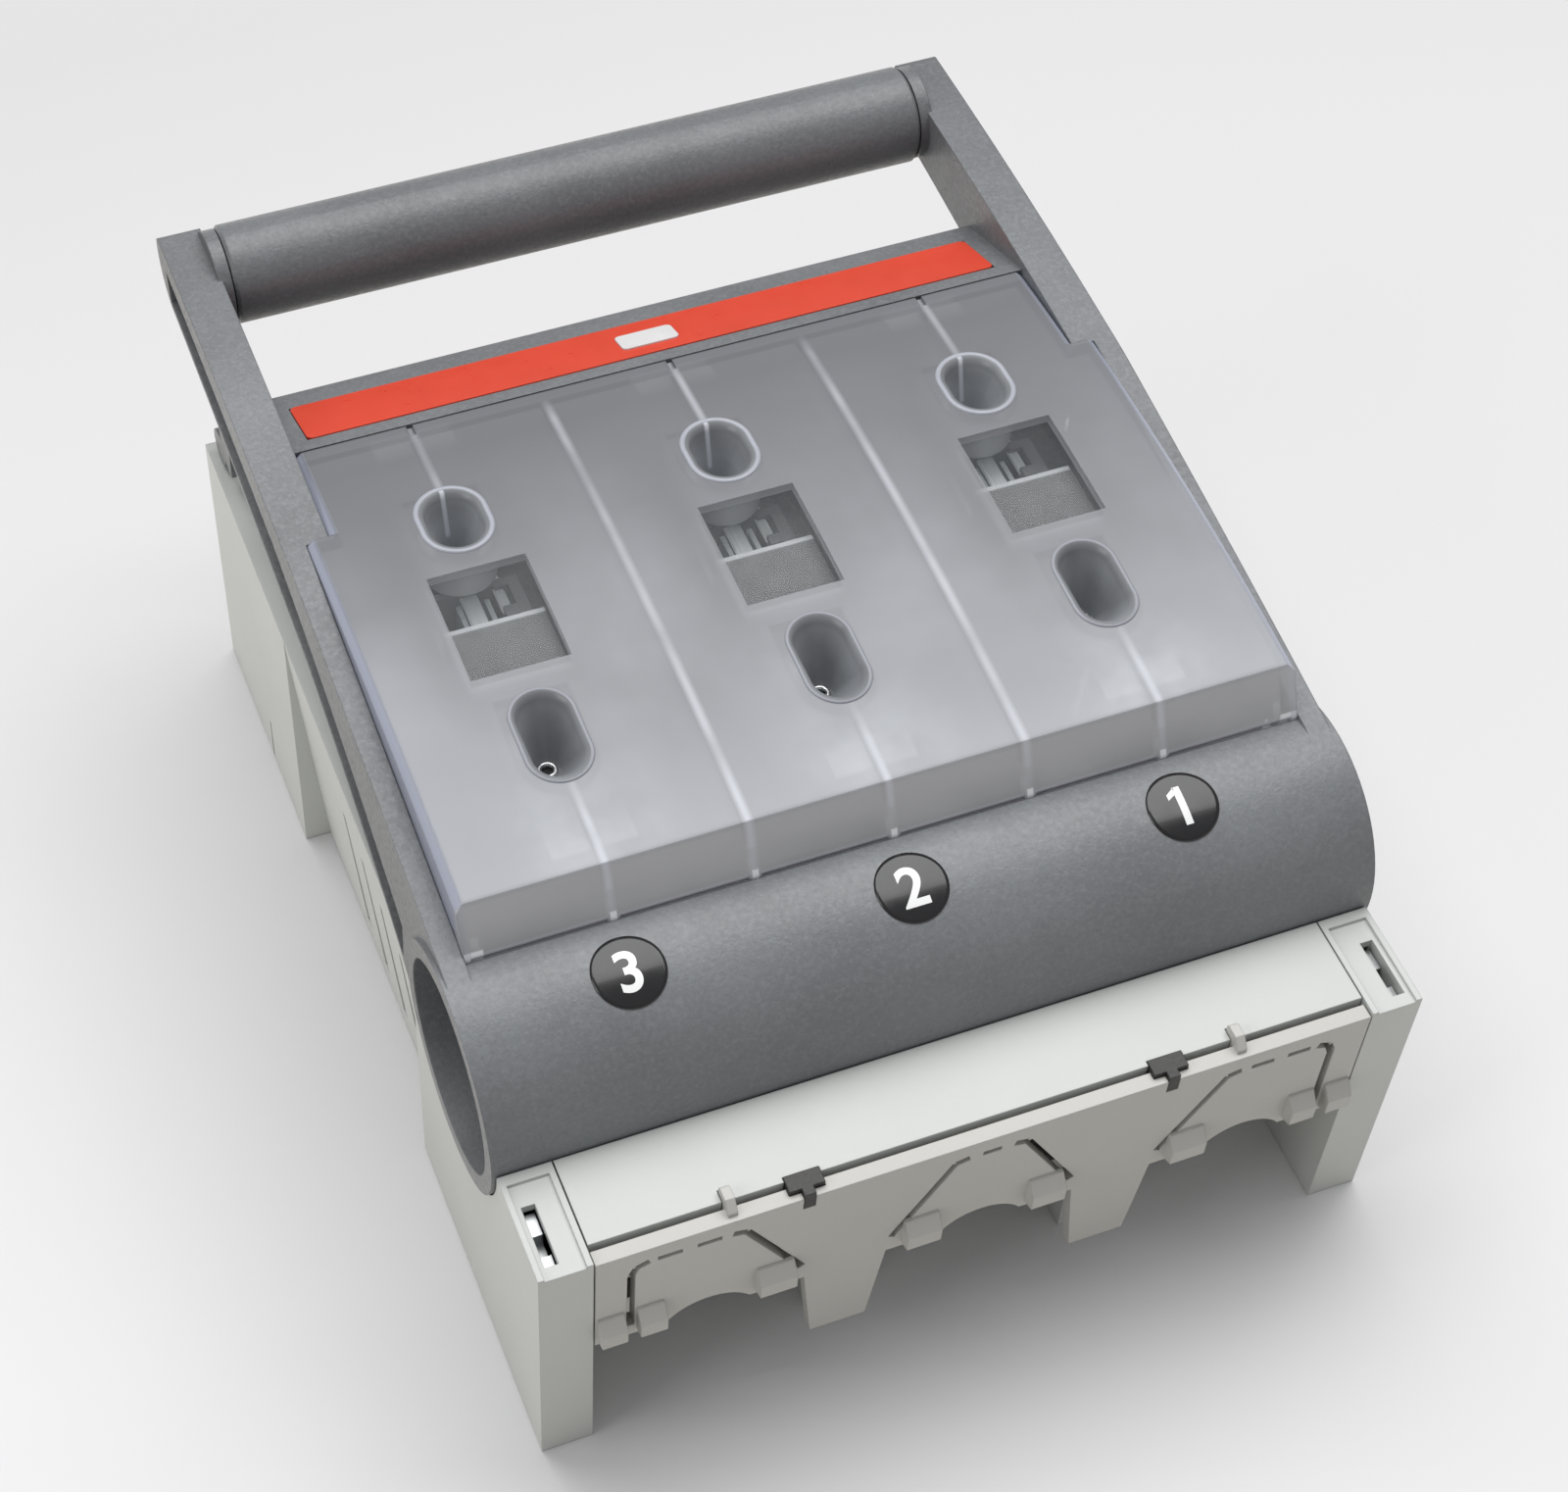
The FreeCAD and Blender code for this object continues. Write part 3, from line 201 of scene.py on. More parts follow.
class Maker:
    """Builds one node material around a Principled shader."""

    def __init__(self, name):
        self.material = bpy.data.materials.new(name)
        self.material.use_nodes = True
        self.tree = self.material.node_tree
        self.shader = self.tree.nodes["Principled BSDF"]
        self.place = self.node("ShaderNodeTexCoord").outputs["Object"]

    def node(self, kind, **values):
        made = self.tree.nodes.new(kind)
        for key, value in values.items():
            setattr(made, key, value)
        return made

    def link(self, source, target):
        self.tree.links.new(source, target)

    def noise(self, scale, detail=3.0, roughness=0.55):
        made = self.node("ShaderNodeTexNoise")
        made.inputs["Scale"].default_value = scale
        made.inputs["Detail"].default_value = detail
        made.inputs["Roughness"].default_value = roughness
        self.link(self.place, made.inputs["Vector"])
        return made.outputs["Fac"]

    def ramp(self, source, low, high, at_low, at_high):
        made = self.node("ShaderNodeMapRange")
        made.inputs["From Min"].default_value = low
        made.inputs["From Max"].default_value = high
        made.inputs["To Min"].default_value = at_low
        made.inputs["To Max"].default_value = at_high
        self.link(source, made.inputs["Value"])
        return made.outputs["Result"]

    def rise(self, source, low, high, top=1.0):
        """0 up to low, and top from high on."""
        return self.ramp(source, low, high, 0.0, top)

    def fall(self, source, low, high, top=1.0):
        """Top up to low, and 0 from high on."""
        return self.ramp(source, low, high, top, 0.0)

    def mix(self, factor, first, second):
        made = self.node("ShaderNodeMix", data_type="RGBA")
        for number, value in ((6, first), (7, second)):
            if isinstance(value, tuple):
                made.inputs[number].default_value = (*value, 1.0)
            else:
                self.link(value, made.inputs[number])
        self.link(factor, made.inputs[0])
        return made.outputs[2]

    def math(self, operation, first, second=0.0):
        made = self.node("ShaderNodeMath", operation=operation)
        for number, value in ((0, first), (1, second)):
            if isinstance(value, float):
                made.inputs[number].default_value = value
            else:
                self.link(value, made.inputs[number])
        return made.outputs[0]

    def both(self, first, *others):
        """Product of masks: what lies in all of them."""
        for mask in others:
            first = self.math("MULTIPLY", first, mask)
        return first

    def either(self, first, *others):
        """Largest of masks: what lies in any of them."""
        for mask in others:
            first = self.math("MAXIMUM", first, mask)
        return first

    def axes(self):
        made = self.node("ShaderNodeSeparateXYZ")
        self.link(self.place, made.inputs[0])
        return made.outputs[0], made.outputs[1], made.outputs[2]

    def colour(self, value):
        self.link(value, self.shader.inputs["Base Color"])

    def rough(self, value):
        target = self.shader.inputs["Roughness"]
        if isinstance(value, float):
            target.default_value = value
        else:
            self.link(value, target)

    def bump(self, heights, round_edges=0.0):
        """Heights are (mask, distance, strength), laid over edges rounded by a radius."""
        normal = None
        if round_edges > 0.0:
            edge = self.node("ShaderNodeBevel", samples=4)
            edge.inputs["Radius"].default_value = round_edges
            normal = edge.outputs["Normal"]
        for height, distance, strength in heights:
            made = self.node("ShaderNodeBump")
            made.inputs["Distance"].default_value = distance
            made.inputs["Strength"].default_value = strength
            self.link(height, made.inputs["Height"])
            if normal is not None:
                self.link(normal, made.inputs["Normal"])
            normal = made.outputs["Normal"]
        self.link(normal, self.shader.inputs["Normal"])


def shade(colour, share):
    return tuple(channel * share for channel in colour)


def moulded_plastic(name, colour, rough, grain, spread, round_edges=0.4 * mm):
    """Matt moulded plastic with a faint cloudiness and a fine eroded grain."""
    maker = Maker(name)
    cloud = maker.rise(maker.noise(moulding_cloud, 2.0), 0.35, 0.65)
    maker.colour(maker.mix(cloud, shade(colour, 1.0 - spread), shade(colour, 1.0 + spread)))
    fine = maker.noise(fine_grain, 2.0)
    maker.rough(maker.ramp(fine, 0.3, 0.7, rough - 0.05, rough + 0.05))
    maker.bump([(fine, 0.05 * mm, grain)], round_edges)
    return maker.material


def glass_filled_plastic(name, colour):
    """Dark moulding with the pale flecks and flow marks that glass fibre leaves in its skin, with painted shade at
    the grip end and a painted highlight at the tube end.
    """
    maker = Maker(name)
    _, along_y, _ = maker.axes()
    flow = maker.rise(maker.noise(moulding_flow, 3.0), 0.35, 0.68)
    skin = maker.mix(flow, shade(colour, 0.84), shade(colour, 1.14))
    mottle = maker.rise(maker.noise(fibre_mottle, 6.0, 0.72), 0.46, 0.66, 0.50)
    skin = maker.mix(mottle, skin, shade(colour, 1.6))
    pits = maker.fall(maker.noise(fibre_pits, 5.0, 0.7), 0.34, 0.50, 0.45)
    skin = maker.mix(pits, skin, shade(colour, 0.68))
    # painted shade: the grip end darkened
    far_end = maker.rise(along_y, 60 * mm, 105 * mm, 0.30)
    skin = maker.mix(far_end, skin, shade(colour, 0.60))
    # painted highlight: the tube end lightened
    near_end = maker.fall(along_y, -85 * mm, -60 * mm, 0.30)
    maker.colour(maker.mix(near_end, skin, shade(colour, 1.45)))
    fine = maker.noise(fine_grain, 3.0)
    patch = maker.noise(fibre_patch, 3.0)
    maker.rough(maker.ramp(patch, 0.35, 0.7, 0.34, 0.49))
    maker.bump([(fine, 0.08 * mm, 0.8), (patch, 0.12 * mm, 0.6)], 0.5 * mm)
    return maker.material


def satin(name, colour, rough, coat=0.0, round_edges=0.2 * mm):
    """Smooth plastic with slight waviness and rubbing marks."""
    maker = Maker(name)
    wear = maker.rise(maker.noise(satin_wear, 4.0), 0.3, 0.7)
    maker.colour(maker.mix(wear, shade(colour, 0.96), shade(colour, 1.03)))
    rub = maker.noise(satin_rub, 4.0)
    maker.rough(maker.ramp(rub, 0.3, 0.7, rough * 0.85, rough * 1.2))
    maker.shader.inputs["Coat Weight"].default_value = coat
    maker.bump([(rub, 0.02 * mm, 0.2)], round_edges)
    return maker.material


def metal(name, colour, rough, streak_axis, share=1.0, round_edges=0.15 * mm):
    """Plated or rolled metal with faint streaks along one axis."""
    maker = Maker(name)
    along, across = metal_streak
    scale = [across, across, across]
    scale[streak_axis] = along
    stretch = maker.node("ShaderNodeMapping")
    stretch.inputs["Scale"].default_value = scale
    maker.link(maker.place, stretch.inputs["Vector"])
    streak = maker.node("ShaderNodeTexNoise")
    streak.inputs["Scale"].default_value = 1.0
    maker.link(stretch.outputs["Vector"], streak.inputs["Vector"])
    streaks = streak.outputs["Fac"]
    tone = maker.rise(streaks, 0.3, 0.7)
    maker.colour(maker.mix(tone, shade(colour, 0.88), shade(colour, 1.05)))
    maker.shader.inputs["Metallic"].default_value = share
    maker.rough(maker.ramp(streaks, 0.3, 0.7, rough * 0.8, rough * 1.25))
    maker.bump([(streaks, 0.02 * mm, 0.25)], round_edges)
    return maker.material


def carrier_plastic(name):
    """Dark moulding whose raised block has a painted highlight along its upper edge and painted light in the
    recess beyond it, and which shades off towards the hinge.
    """
    maker = Maker(name)
    _, along_y, along_z = maker.axes()
    # painted highlight along the upper edge of the raised block
    edge = maker.both(maker.rise(along_y, carrier_edge_y - 1.6 * mm, carrier_edge_y - 1.0 * mm),
                      maker.rise(along_z, carrier_high.z - 1.2 * mm, carrier_high.z - 0.4 * mm))
    cloud = maker.rise(maker.noise(carrier_cloud, 3.0), 0.35, 0.65)
    body = maker.mix(cloud, shade(carrier_grey, 0.90), shade(carrier_grey, 1.15))
    # painted light in the recess beyond the block's edge
    painted_light_beyond_edge = maker.rise(along_y, carrier_edge_y - 0.2 * mm, carrier_edge_y + 0.4 * mm)
    body = maker.mix(painted_light_beyond_edge, body, shade(carrier_grey, 2.6))
    near = maker.fall(along_y, carrier_low.y, carrier_low.y + 9 * mm, 0.55)
    body = maker.mix(near, body, shade(carrier_grey, 0.45))
    maker.colour(maker.mix(edge, body, shade(carrier_grey, 4.6)))
    maker.rough(0.5)
    maker.bump([(maker.noise(fine_grain, 2.0), 0.04 * mm, 0.3)], 0.5 * mm)
    return maker.material


class WindowMaker(Maker):
    """Material maker that knows where a point lies beside the poles."""

    def __init__(self, name):
        super().__init__(name)
        self.x, self.y, self.z = self.axes()
        self.from_middle = self.math("ABSOLUTE", self.x)
        from_outer = self.math("ABSOLUTE", self.math("SUBTRACT", self.from_middle, pitch))
        self.from_pole = self.math("MINIMUM", self.from_middle, from_outer)
        self.from_gap = self.math("ABSOLUTE", self.math("SUBTRACT", self.from_middle, pitch / 2.0))
        nearest_pole = self.math("MULTIPLY", self.math("ROUND", self.math("DIVIDE", self.x, pitch)), pitch)
        self.off_pole = self.math("SUBTRACT", self.x, nearest_pole)
        self.front = self.fall(self.y, front_y - 1 * mm, front_y)
        self.underside = self.fall(self.z, underside_z - 1.4 * mm, underside_z)

    def pane(self):
        """The clear pane of each pole."""
        return self.both(self.fall(self.from_pole, pane_half_width - pane_edge, pane_half_width),
                         self.rise(self.y, pane_near_y, pane_near_y + pane_edge),
                         self.fall(self.y, pane_far_y - pane_edge, pane_far_y))

    def rib_lines(self):
        """Ribs between the poles, and over each pole before and behind its funnels."""
        gap_rib = self.both(self.fall(self.from_gap, 0.3 * mm, 1.5 * mm),
                            self.fall(self.y, rib_far_y - 8 * mm, rib_far_y))
        near_end = near_funnel[0] - near_funnel[1] - near_funnel[2]
        far_end = far_funnel[0] + far_funnel[1] + far_funnel[2]
        before = self.both(self.ramp(self.y, near_end - 12 * mm, near_end + 1 * mm, 1.0, 0.2),
                           self.fall(self.y, near_end, near_end + 1 * mm))
        behind = self.rise(self.y, far_end - 2 * mm, far_end)
        pole_rib = self.both(self.fall(self.from_pole, 0.3 * mm, 1.3 * mm), self.either(before, behind))
        waver = self.ramp(self.noise(rib_waver, 2.0), 0.34, 0.62, 0.45, 1.0)
        weak_foot = self.ramp(self.z, rib_low_z - 0.8 * mm, rib_low_z, 0.55, 1.0)
        far_border = self.rise(self.y, window_high.y - 3.4 * mm, window_high.y - 3.0 * mm, 0.12)
        return self.either(self.both(self.either(gap_rib, pole_rib), waver, weak_foot), far_border)

    def haze_with_painted_light(self):
        """Cloudy body, with painted light and shade laid over it: darker far end and right side, lighter near end
        and left side, a painted shadow beside each carrier, a painted glow round the near funnels and painted
        shade round each pane.
        """
        pane_middle = (pane_near_y + pane_far_y) / 2.0
        off_pane = self.math("ABSOLUTE", self.math("SUBTRACT", self.y, pane_middle))
        # painted shade on the far end and the right side, painted light on the near end and the left side
        far = self.rise(self.y, -40 * mm, 45 * mm)
        right = self.rise(self.x, -20 * mm, 95 * mm, 0.30)
        near = self.fall(self.y, -82 * mm, -45 * mm)
        left = self.both(self.fall(self.x, -96 * mm, -55 * mm, 0.7), self.fall(self.y, -40 * mm, -5 * mm))
        # painted shadow of each carrier, beside it
        carrier_painted_shadow = self.both(self.rise(self.off_pole, -28 * mm, -17 * mm),
                                   self.fall(self.off_pole, -14 * mm, -8 * mm),
                                   self.rise(self.y, -48 * mm, -22 * mm),
                                   self.fall(self.y, 5 * mm, 38 * mm, 0.38))
        # painted glow round the near funnels
        near_painted_glow = self.both(self.fall(self.from_pole, 6 * mm, 24 * mm),
                              self.fall(self.y, -76 * mm, -58 * mm),
                              self.ramp(self.noise(glow_cloud, 2.0), 0.38, 0.62, 0.15, 0.75))
        # painted shade round each pane
        pane_painted_shade = self.both(self.fall(self.from_pole, pane_half_width, pane_half_width + 10 * mm),
                               self.fall(off_pane, 14 * mm, 34 * mm, 0.35))
        milk = self.rise(self.noise(milk_cloud, 3.0), 0.33, 0.67)
        haze = self.mix(milk, shade(window_haze, 0.84), shade(window_haze, 1.10))
        # these tones are painted light and shade laid over the cloudy milk
        places = ((far, 0.52), (right, 0.62), (near, 1.20), (left, 1.22),
                  (carrier_painted_shadow, 0.50), (near_painted_glow, 1.55), (pane_painted_shade, 0.62))
        for place, share in places:
            haze = self.mix(place, haze, shade(window_haze, share))
        return haze

    def side_walls(self):
        """Side faces of the window, which step in behind the near part."""
        rim_x = window_high.x - rim_width
        near_side = self.rise(self.from_middle, rim_x - 1 * mm, rim_x)
        far_side = self.rise(self.from_middle, rim_x - step_in - 1 * mm, rim_x - step_in)
        behind_step = self.rise(self.y, step_y - 0.2 * mm, step_y)
        side = self.either(near_side, self.both(far_side, behind_step))
        return self.both(side, self.math("SUBTRACT", 1.0, self.front))

    def funnel_walls(self):
        """Outside of the funnels, below the window's skin."""
        return self.both(self.underside,
                         self.fall(self.from_pole, funnel_room - 0.2 * mm, funnel_room),
                         self.rise(self.y, funnels_from_y - 1 * mm, funnels_from_y))

    def foot_tabs(self):
        """White ends of the ribs along the foot of the front face, and its white corners."""
        tabs = self.either(self.fall(self.from_gap, 0.6 * mm, 0.9 * mm),
                           self.fall(self.from_pole, 0.6 * mm, 0.9 * mm),
                           self.rise(self.from_middle, foot_corner_x, foot_corner_x + 0.4 * mm))
        return self.both(self.front, tabs, self.fall(self.z, foot_z + 0.5 * mm, foot_z + 0.9 * mm))


def window_plastic(name):
    """Frosted polycarbonate with a clear pane over each pole, pale ribs and a pale foot, with painted light, shade
    and highlights laid into its frosted tone.
    """
    maker = WindowMaker(name)
    clear = maker.pane()
    lines = maker.rib_lines()
    funnel_walls = maker.funnel_walls()
    foot_tabs = maker.foot_tabs()
    blot = maker.ramp(maker.noise(front_blot, 2.0), 0.40, 0.62, 0.25, 1.0)
    low_shade = maker.both(maker.front, maker.fall(maker.z, foot_z + 0.3 * mm, foot_z + 6.8 * mm, 0.32), blot)
    strength = maker.ramp(maker.y, front_y - 6.2 * mm, front_y + 18.8 * mm, 0.95, 0.42)
    foot_line = maker.both(maker.front, maker.fall(maker.z, foot_z - 0.3 * mm, foot_z + 0.5 * mm, 0.45))
    # painted highlight down the rounded corners of the front face
    corner_x = window_high.x - 1.4 * mm
    corner = maker.both(maker.front, maker.rise(maker.from_middle, corner_x - 0.4 * mm, corner_x, 0.55))

    haze = maker.haze_with_painted_light()
    # painted light on the front face and the underside
    haze = maker.mix(maker.either(maker.front, maker.underside), haze, front_and_underside_painted_light)
    # painted light on the side faces
    haze = maker.mix(maker.side_walls(), haze, side_painted_light_tone)
    # painted glow on the outside of the funnels
    haze = maker.mix(funnel_walls, haze, funnel_wall_painted_glow)
    haze = maker.mix(low_shade, haze, shade(front_and_underside_painted_light, 0.45))
    haze = maker.mix(maker.both(lines, strength), haze, window_line)
    haze = maker.mix(foot_line, haze, window_line)
    haze = maker.mix(foot_tabs, haze, foot_white)
    # painted highlight at the front corners
    haze = maker.mix(corner, haze, window_line)
    maker.colour(maker.mix(clear, haze, pane_glass))

    maker.rough(maker.ramp(clear, 0.0, 1.0, 0.36, 0.05))
    solid = maker.ramp(maker.either(lines, funnel_walls, foot_tabs), 0.0, 1.0, 0.66, 0.94)
    veil = maker.both(solid, maker.ramp(clear, 0.0, 1.0, 1.0, 0.13))
    maker.link(veil, maker.shader.inputs["Alpha"])
    frost = maker.both(maker.noise(frost_grain, 2.0), maker.fall(clear, 0.0, 1.0))
    maker.bump([(frost, 0.04 * mm, 0.35)], 0.9 * mm)
    return maker.material


def funnel_plastic(name):
    """Inside of a funnel: frosted like the window, with the pole's rib running down its far side, painted light
    low in the far funnels and painted shade near the top.
    """
    maker = WindowMaker(name)
    rib = maker.both(maker.fall(maker.from_pole, 0.35 * mm, 0.7 * mm),
                     maker.rise(maker.y, far_funnel[0] + 3 * mm, far_funnel[0] + 4 * mm),
                     maker.rise(maker.z, funnel_rib_foot_z, funnel_rib_foot_z + 1 * mm))
    cloud = maker.rise(maker.noise(funnel_cloud, 3.0), 0.33, 0.67)
    body = maker.mix(cloud, shade(funnel_grey, 0.85), shade(funnel_grey, 1.1))
    # painted light low down in the far funnels
    inner_painted_light = maker.both(maker.rise(maker.y, -30 * mm, 0.0), maker.fall(maker.z, 117 * mm, 121 * mm))
    body = maker.mix(inner_painted_light, body, shade(funnel_grey, 1.25))
    upper_shade = maker.rise(maker.z, 122 * mm, 124 * mm, 0.5)
    body = maker.mix(upper_shade, body, shade(funnel_grey, 0.55))
    maker.colour(maker.mix(rib, body, window_line))
    maker.rough(0.30)
    return maker.material


# dress of the solids

def dress(material, *names):
    for name in names:
        piece = nodes_of_frame[name]
        piece.data.materials.clear()
        piece.data.materials.append(material)


def numbered(stem):
    return [stem + str(number) for number in (1, 2, 3)]


def dress_frame():
    base = moulded_plastic("base_moulding", base_grey, 0.48, 0.25, 0.02)
    dress(base, "base_body", "near_top_cover", "far_top_cover")
    # the front panels take the darker, warmer copy of the base grey as painted shade
    panel = moulded_plastic("panel_painted_shade_moulding", panel_painted_shade_grey, 0.48, 0.25, 0.02)
    dress(panel, "near_front_panel", "far_front_panel")
    lid = glass_filled_plastic("lid_moulding", lid_grey)
    dress(lid, "lid_frame", "grip_bar")
    dress(window_plastic("frosted_window"), "window")
    dress(satin("red_strip", strip_red, 0.32, 0.0, 0.0), "marking_strip")
    dress(satin("white_label", label_white, 0.38), "white_tag")
    latch = moulded_plastic("latch_moulding", latch_dark, 0.5, 0.3, 0.05)
    dress(latch, "near_latch_left", "near_latch_right", "far_latch_left", "far_latch_right")
    dress(carrier_plastic("carrier_moulding"), *numbered("fuse_carrier_"))
    spring = metal("spring_steel_bright", steel_bright, 0.22, 2)
    dress(spring, *numbered("near_jaw_spring_"), *numbered("far_jaw_spring_"))
    dress(metal("grip_plating", grip_plating, 0.35, 2, share=0.45), *numbered("fuse_grips_"))
    dress(metal("slot_steel", steel_zinc, 0.35, 1), "slot_clip_left", "slot_clip_right")
    contact = metal("contact_plating", copper_plated, 0.3, 1)
    dress(contact, *numbered("near_contact_"), *numbered("far_contact_"))
    dress(metal("arc_plate_steel", shade(steel_zinc, 0.8), 0.45, 0), *numbered("arc_plates_"))
    dress(metal("bolt_zinc", steel_zinc, 0.32, 2), "terminal_bolts", "terminal_nuts")


def new_piece(name, mesh, material, body):
    piece = bpy.data.objects.new(name, mesh)
    bpy.context.scene.collection.objects.link(piece)
    mesh.materials.append(material)
    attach(piece, body)
    return piece


# number discs on the hinge tube

def on_tube(x, along, lift):
    """A point of the tube's skin: along runs round the tube towards the handle from its top."""
    angle = math.pi / 2.0 - along / tube_radius
    radius = tube_radius + lift
    return Vector((x, tube_y + radius * math.cos(angle), tube_z + radius * math.sin(angle)))


def curved_disc(name, x, along, radius, thickness, material, rings=10, spokes=48):
    """Round label that follows the tube, as a low and a high skin joined by a rim."""
    work = bmesh.new()
    skins = []
    for lift in (0.02 * mm, thickness):
        loops = []
        for ring in range(1, rings + 1):
            r = radius * ring / rings
            turns = [2 * math.pi * spoke / spokes for spoke in range(spokes)]
            loops.append([work.verts.new(on_tube(x + r * math.cos(turn), along + r * math.sin(turn), lift))
                          for turn in turns])
        skins.append((work.verts.new(on_tube(x, along, lift)), loops))
    low_rim, high_rim = skins[0][1][-1], skins[1][1][-1]
    for spoke in range(spokes):
        after = (spoke + 1) % spokes
        for centre, loops in skins:
            work.faces.new([centre, loops[0][spoke], loops[0][after]])
            for inner, outer in zip(loops, loops[1:]):
                work.faces.new([inner[spoke], outer[spoke], outer[after], inner[after]])
        work.faces.new([low_rim[spoke], low_rim[after], high_rim[after], high_rim[spoke]])
    bmesh.ops.recalc_face_normals(work, faces=work.faces)
    mesh = bpy.data.meshes.new(name)
    work.to_mesh(mesh)
    work.free()
    for face in mesh.polygons:
        face.use_smooth = True
    return new_piece(name, mesh, material, "lid")


def digit_mesh(name, digit, height):
    """Flat mesh of a digit in the built-in font."""
    curve = bpy.data.curves.new(name, "FONT")
    curve.body = digit
    curve.size = height * font_share
    curve.align_x = "CENTER"
    curve.align_y = "CENTER"
    curve.offset = numeral_weight
    holder = bpy.data.objects.new(name + "_text", curve)
    bpy.context.scene.collection.objects.link(holder)
    bpy.context.view_layer.update()
    evaluated = holder.evaluated_get(bpy.context.evaluated_depsgraph_get())
    mesh = bpy.data.meshes.new_from_object(evaluated)
    bpy.data.objects.remove(holder)
    return mesh


def add_flag(work, height):
    """The stroke at the top of a 1, which the built-in font lacks."""
    left = min(vertex.co.x for vertex in work.verts)
    top = max(vertex.co.y for vertex in work.verts)
    corners = ((0.05, 0.0), (-0.20, -0.16), (-0.20, -0.31), (0.05, -0.18))
    work.faces.new([work.verts.new((left + a * height, top + b * height, 0)) for a, b in corners])


def numeral(name, digit, x, along, height, lift, material, cuts=12):
    """Printed digit on a disc, cut across so that it follows the tube."""
    mesh = digit_mesh(name, digit, height)
    work = bmesh.new()
    work.from_mesh(mesh)
    if digit == "1":
        add_flag(work, height)
    for cut in range(cuts):
        cut_y = height * (-0.6 + 1.2 * cut / (cuts - 1))
        geometry = list(work.verts) + list(work.edges) + list(work.faces)
        bmesh.ops.bisect_plane(work, geom=geometry, plane_co=(0, cut_y, 0), plane_no=(0, 1, 0))
    heights = [vertex.co.y for vertex in work.verts]
    middle = (min(heights) + max(heights)) / 2.0
    for vertex in work.verts:
        vertex.co = on_tube(x + vertex.co.x, along + vertex.co.y - middle, lift)
    work.to_mesh(mesh)
    work.free()
    mesh.materials.clear()
    return new_piece(name, mesh, material, "lid")


def number_discs():
    black = satin("disc_gloss", disc_black, 0.20, 0.15, 0.0)
    white = satin("numeral_print", numeral_white, 0.35, 0.0, 0.0)
    for pole, digit in zip(poles, disc_digits):
        x = pole + disc_aside
        curved_disc("number_disc_" + digit, x, disc_along, disc_radius, disc_thickness, black)
        numeral("number_" + digit, digit, x, disc_along, numeral_height, numeral_lift, white)


# funnels of the window, with their lips and the probe ends under them

def window_top(y):
    """Height of the window's top face at y, on the plain strip beside the funnels."""
    window = nodes_of_frame["window"]
    back = window.matrix_world.inverted()
    start = back @ Vector((pitch * 0.3, y, cad_high.z + 10 * mm))
    down = back.to_3x3() @ Vector((0, 0, -1))
    struck, place, _, _ = window.ray_cast(start, down)
    return (window.matrix_world @ place).z if struck else window_high.z


def stadium(x, middle, reach, half, count=56):
    """Points round a slot with round ends, each with its outward direction."""
    corners = []
    for number in range(count):
        angle = 2 * math.pi * (number + 0.5) / count
        out = Vector((math.cos(angle), math.sin(angle), 0))
        corners.append((Vector((x, middle + math.copysign(reach, out.y), 0)) + half * out, out))
    return corners


def lofted(name, rings, material):
    """Smooth skin through rings with the same number of points."""
    count = len(rings[0])
    faces = []
    for level in range(len(rings) - 1):
        low = level * count
        for number in range(count):
            after = (number + 1) % count
            faces.append((low + number, low + after, low + count + after, low + count + number))
    mesh = bpy.data.meshes.new(name)
    mesh.from_pydata([corner for ring in rings for corner in ring], [], faces)
    for face in mesh.polygons:
        face.use_smooth = True
    return new_piece(name, mesh, material, "lid")


def funnel_skin(name, x, funnel, flare, material, steps=10):
    """Inner skin of a funnel, from the window's top face down to a small round foot."""
    middle, reach, half, foot_middle = funnel
    grow = (half - funnel_narrow) / (funnel_top_z - funnel_low_z)
    brim = []
    high = []
    for corner, out in stadium(x, middle, reach, half):
        z = window_top(corner.y) + 0.05 * mm
        inward = (funnel_top_z - z) * grow + 0.1 * mm
        brim.append(corner + flare * out + Vector((0, 0, z + 0.3 * mm)))
        high.append(corner - inward * out + Vector((0, 0, z)))
    low = [corner + Vector((0, 0, funnel_foot_z))
           for corner, _ in stadium(x, foot_middle, 0.0, funnel_foot_radius)]
    rings = [brim]
    for step in range(steps + 1):
        rings.append([top.lerp(foot, step / steps) for top, foot in zip(high, low)])
    return lofted(name, rings, material)


def funnel_lip(name, x, funnel, spread, thick, material, steps=8):
    """Low bead round the mouth of a funnel."""
    middle, reach, half, _ = funnel
    rings = []
    for step in range(steps + 1):
        angle = math.pi * step / steps
        ring = []
        for corner, out in stadium(x, middle, reach, half + spread):
            place = corner + thick * math.cos(angle) * out
            place.z = window_top(corner.y) - 0.1 * mm + 0.75 * thick * math.sin(angle)
            ring.append(place)
        rings.append(ring)
    return lofted(name, rings, material)


def probe_end(name, x, y, steel, dark, count=28):
    """Steel eyelet at the foot of a near funnel, with a black disc in its bore as painted shade."""
    low = funnel_foot_z - 0.6 * mm
    high = funnel_foot_z + 1.0 * mm
    outer = funnel_foot_radius + 0.3 * mm
    bore = outer - 1.1 * mm
    profile = ((outer, low), (outer, high - 0.3 * mm), (outer - 0.3 * mm, high),
               (bore + 0.3 * mm, high), (bore, high - 0.3 * mm), (bore, low))
    rings = []
    for radius, z in profile:
        rings.append([corner + Vector((0, 0, z)) for corner, _ in stadium(x, y, 0.0, radius, count)])
    lofted(name, rings, steel)
    shelf = Vector((0, 0, low + 0.2 * mm))
    floor = bpy.data.meshes.new(name + "_bore")
    floor.from_pydata([corner + shelf for corner, _ in stadium(x, y, 0.0, outer, count)],
                      [], [tuple(range(count))])
    new_piece(name + "_bore", floor, dark, "lid")


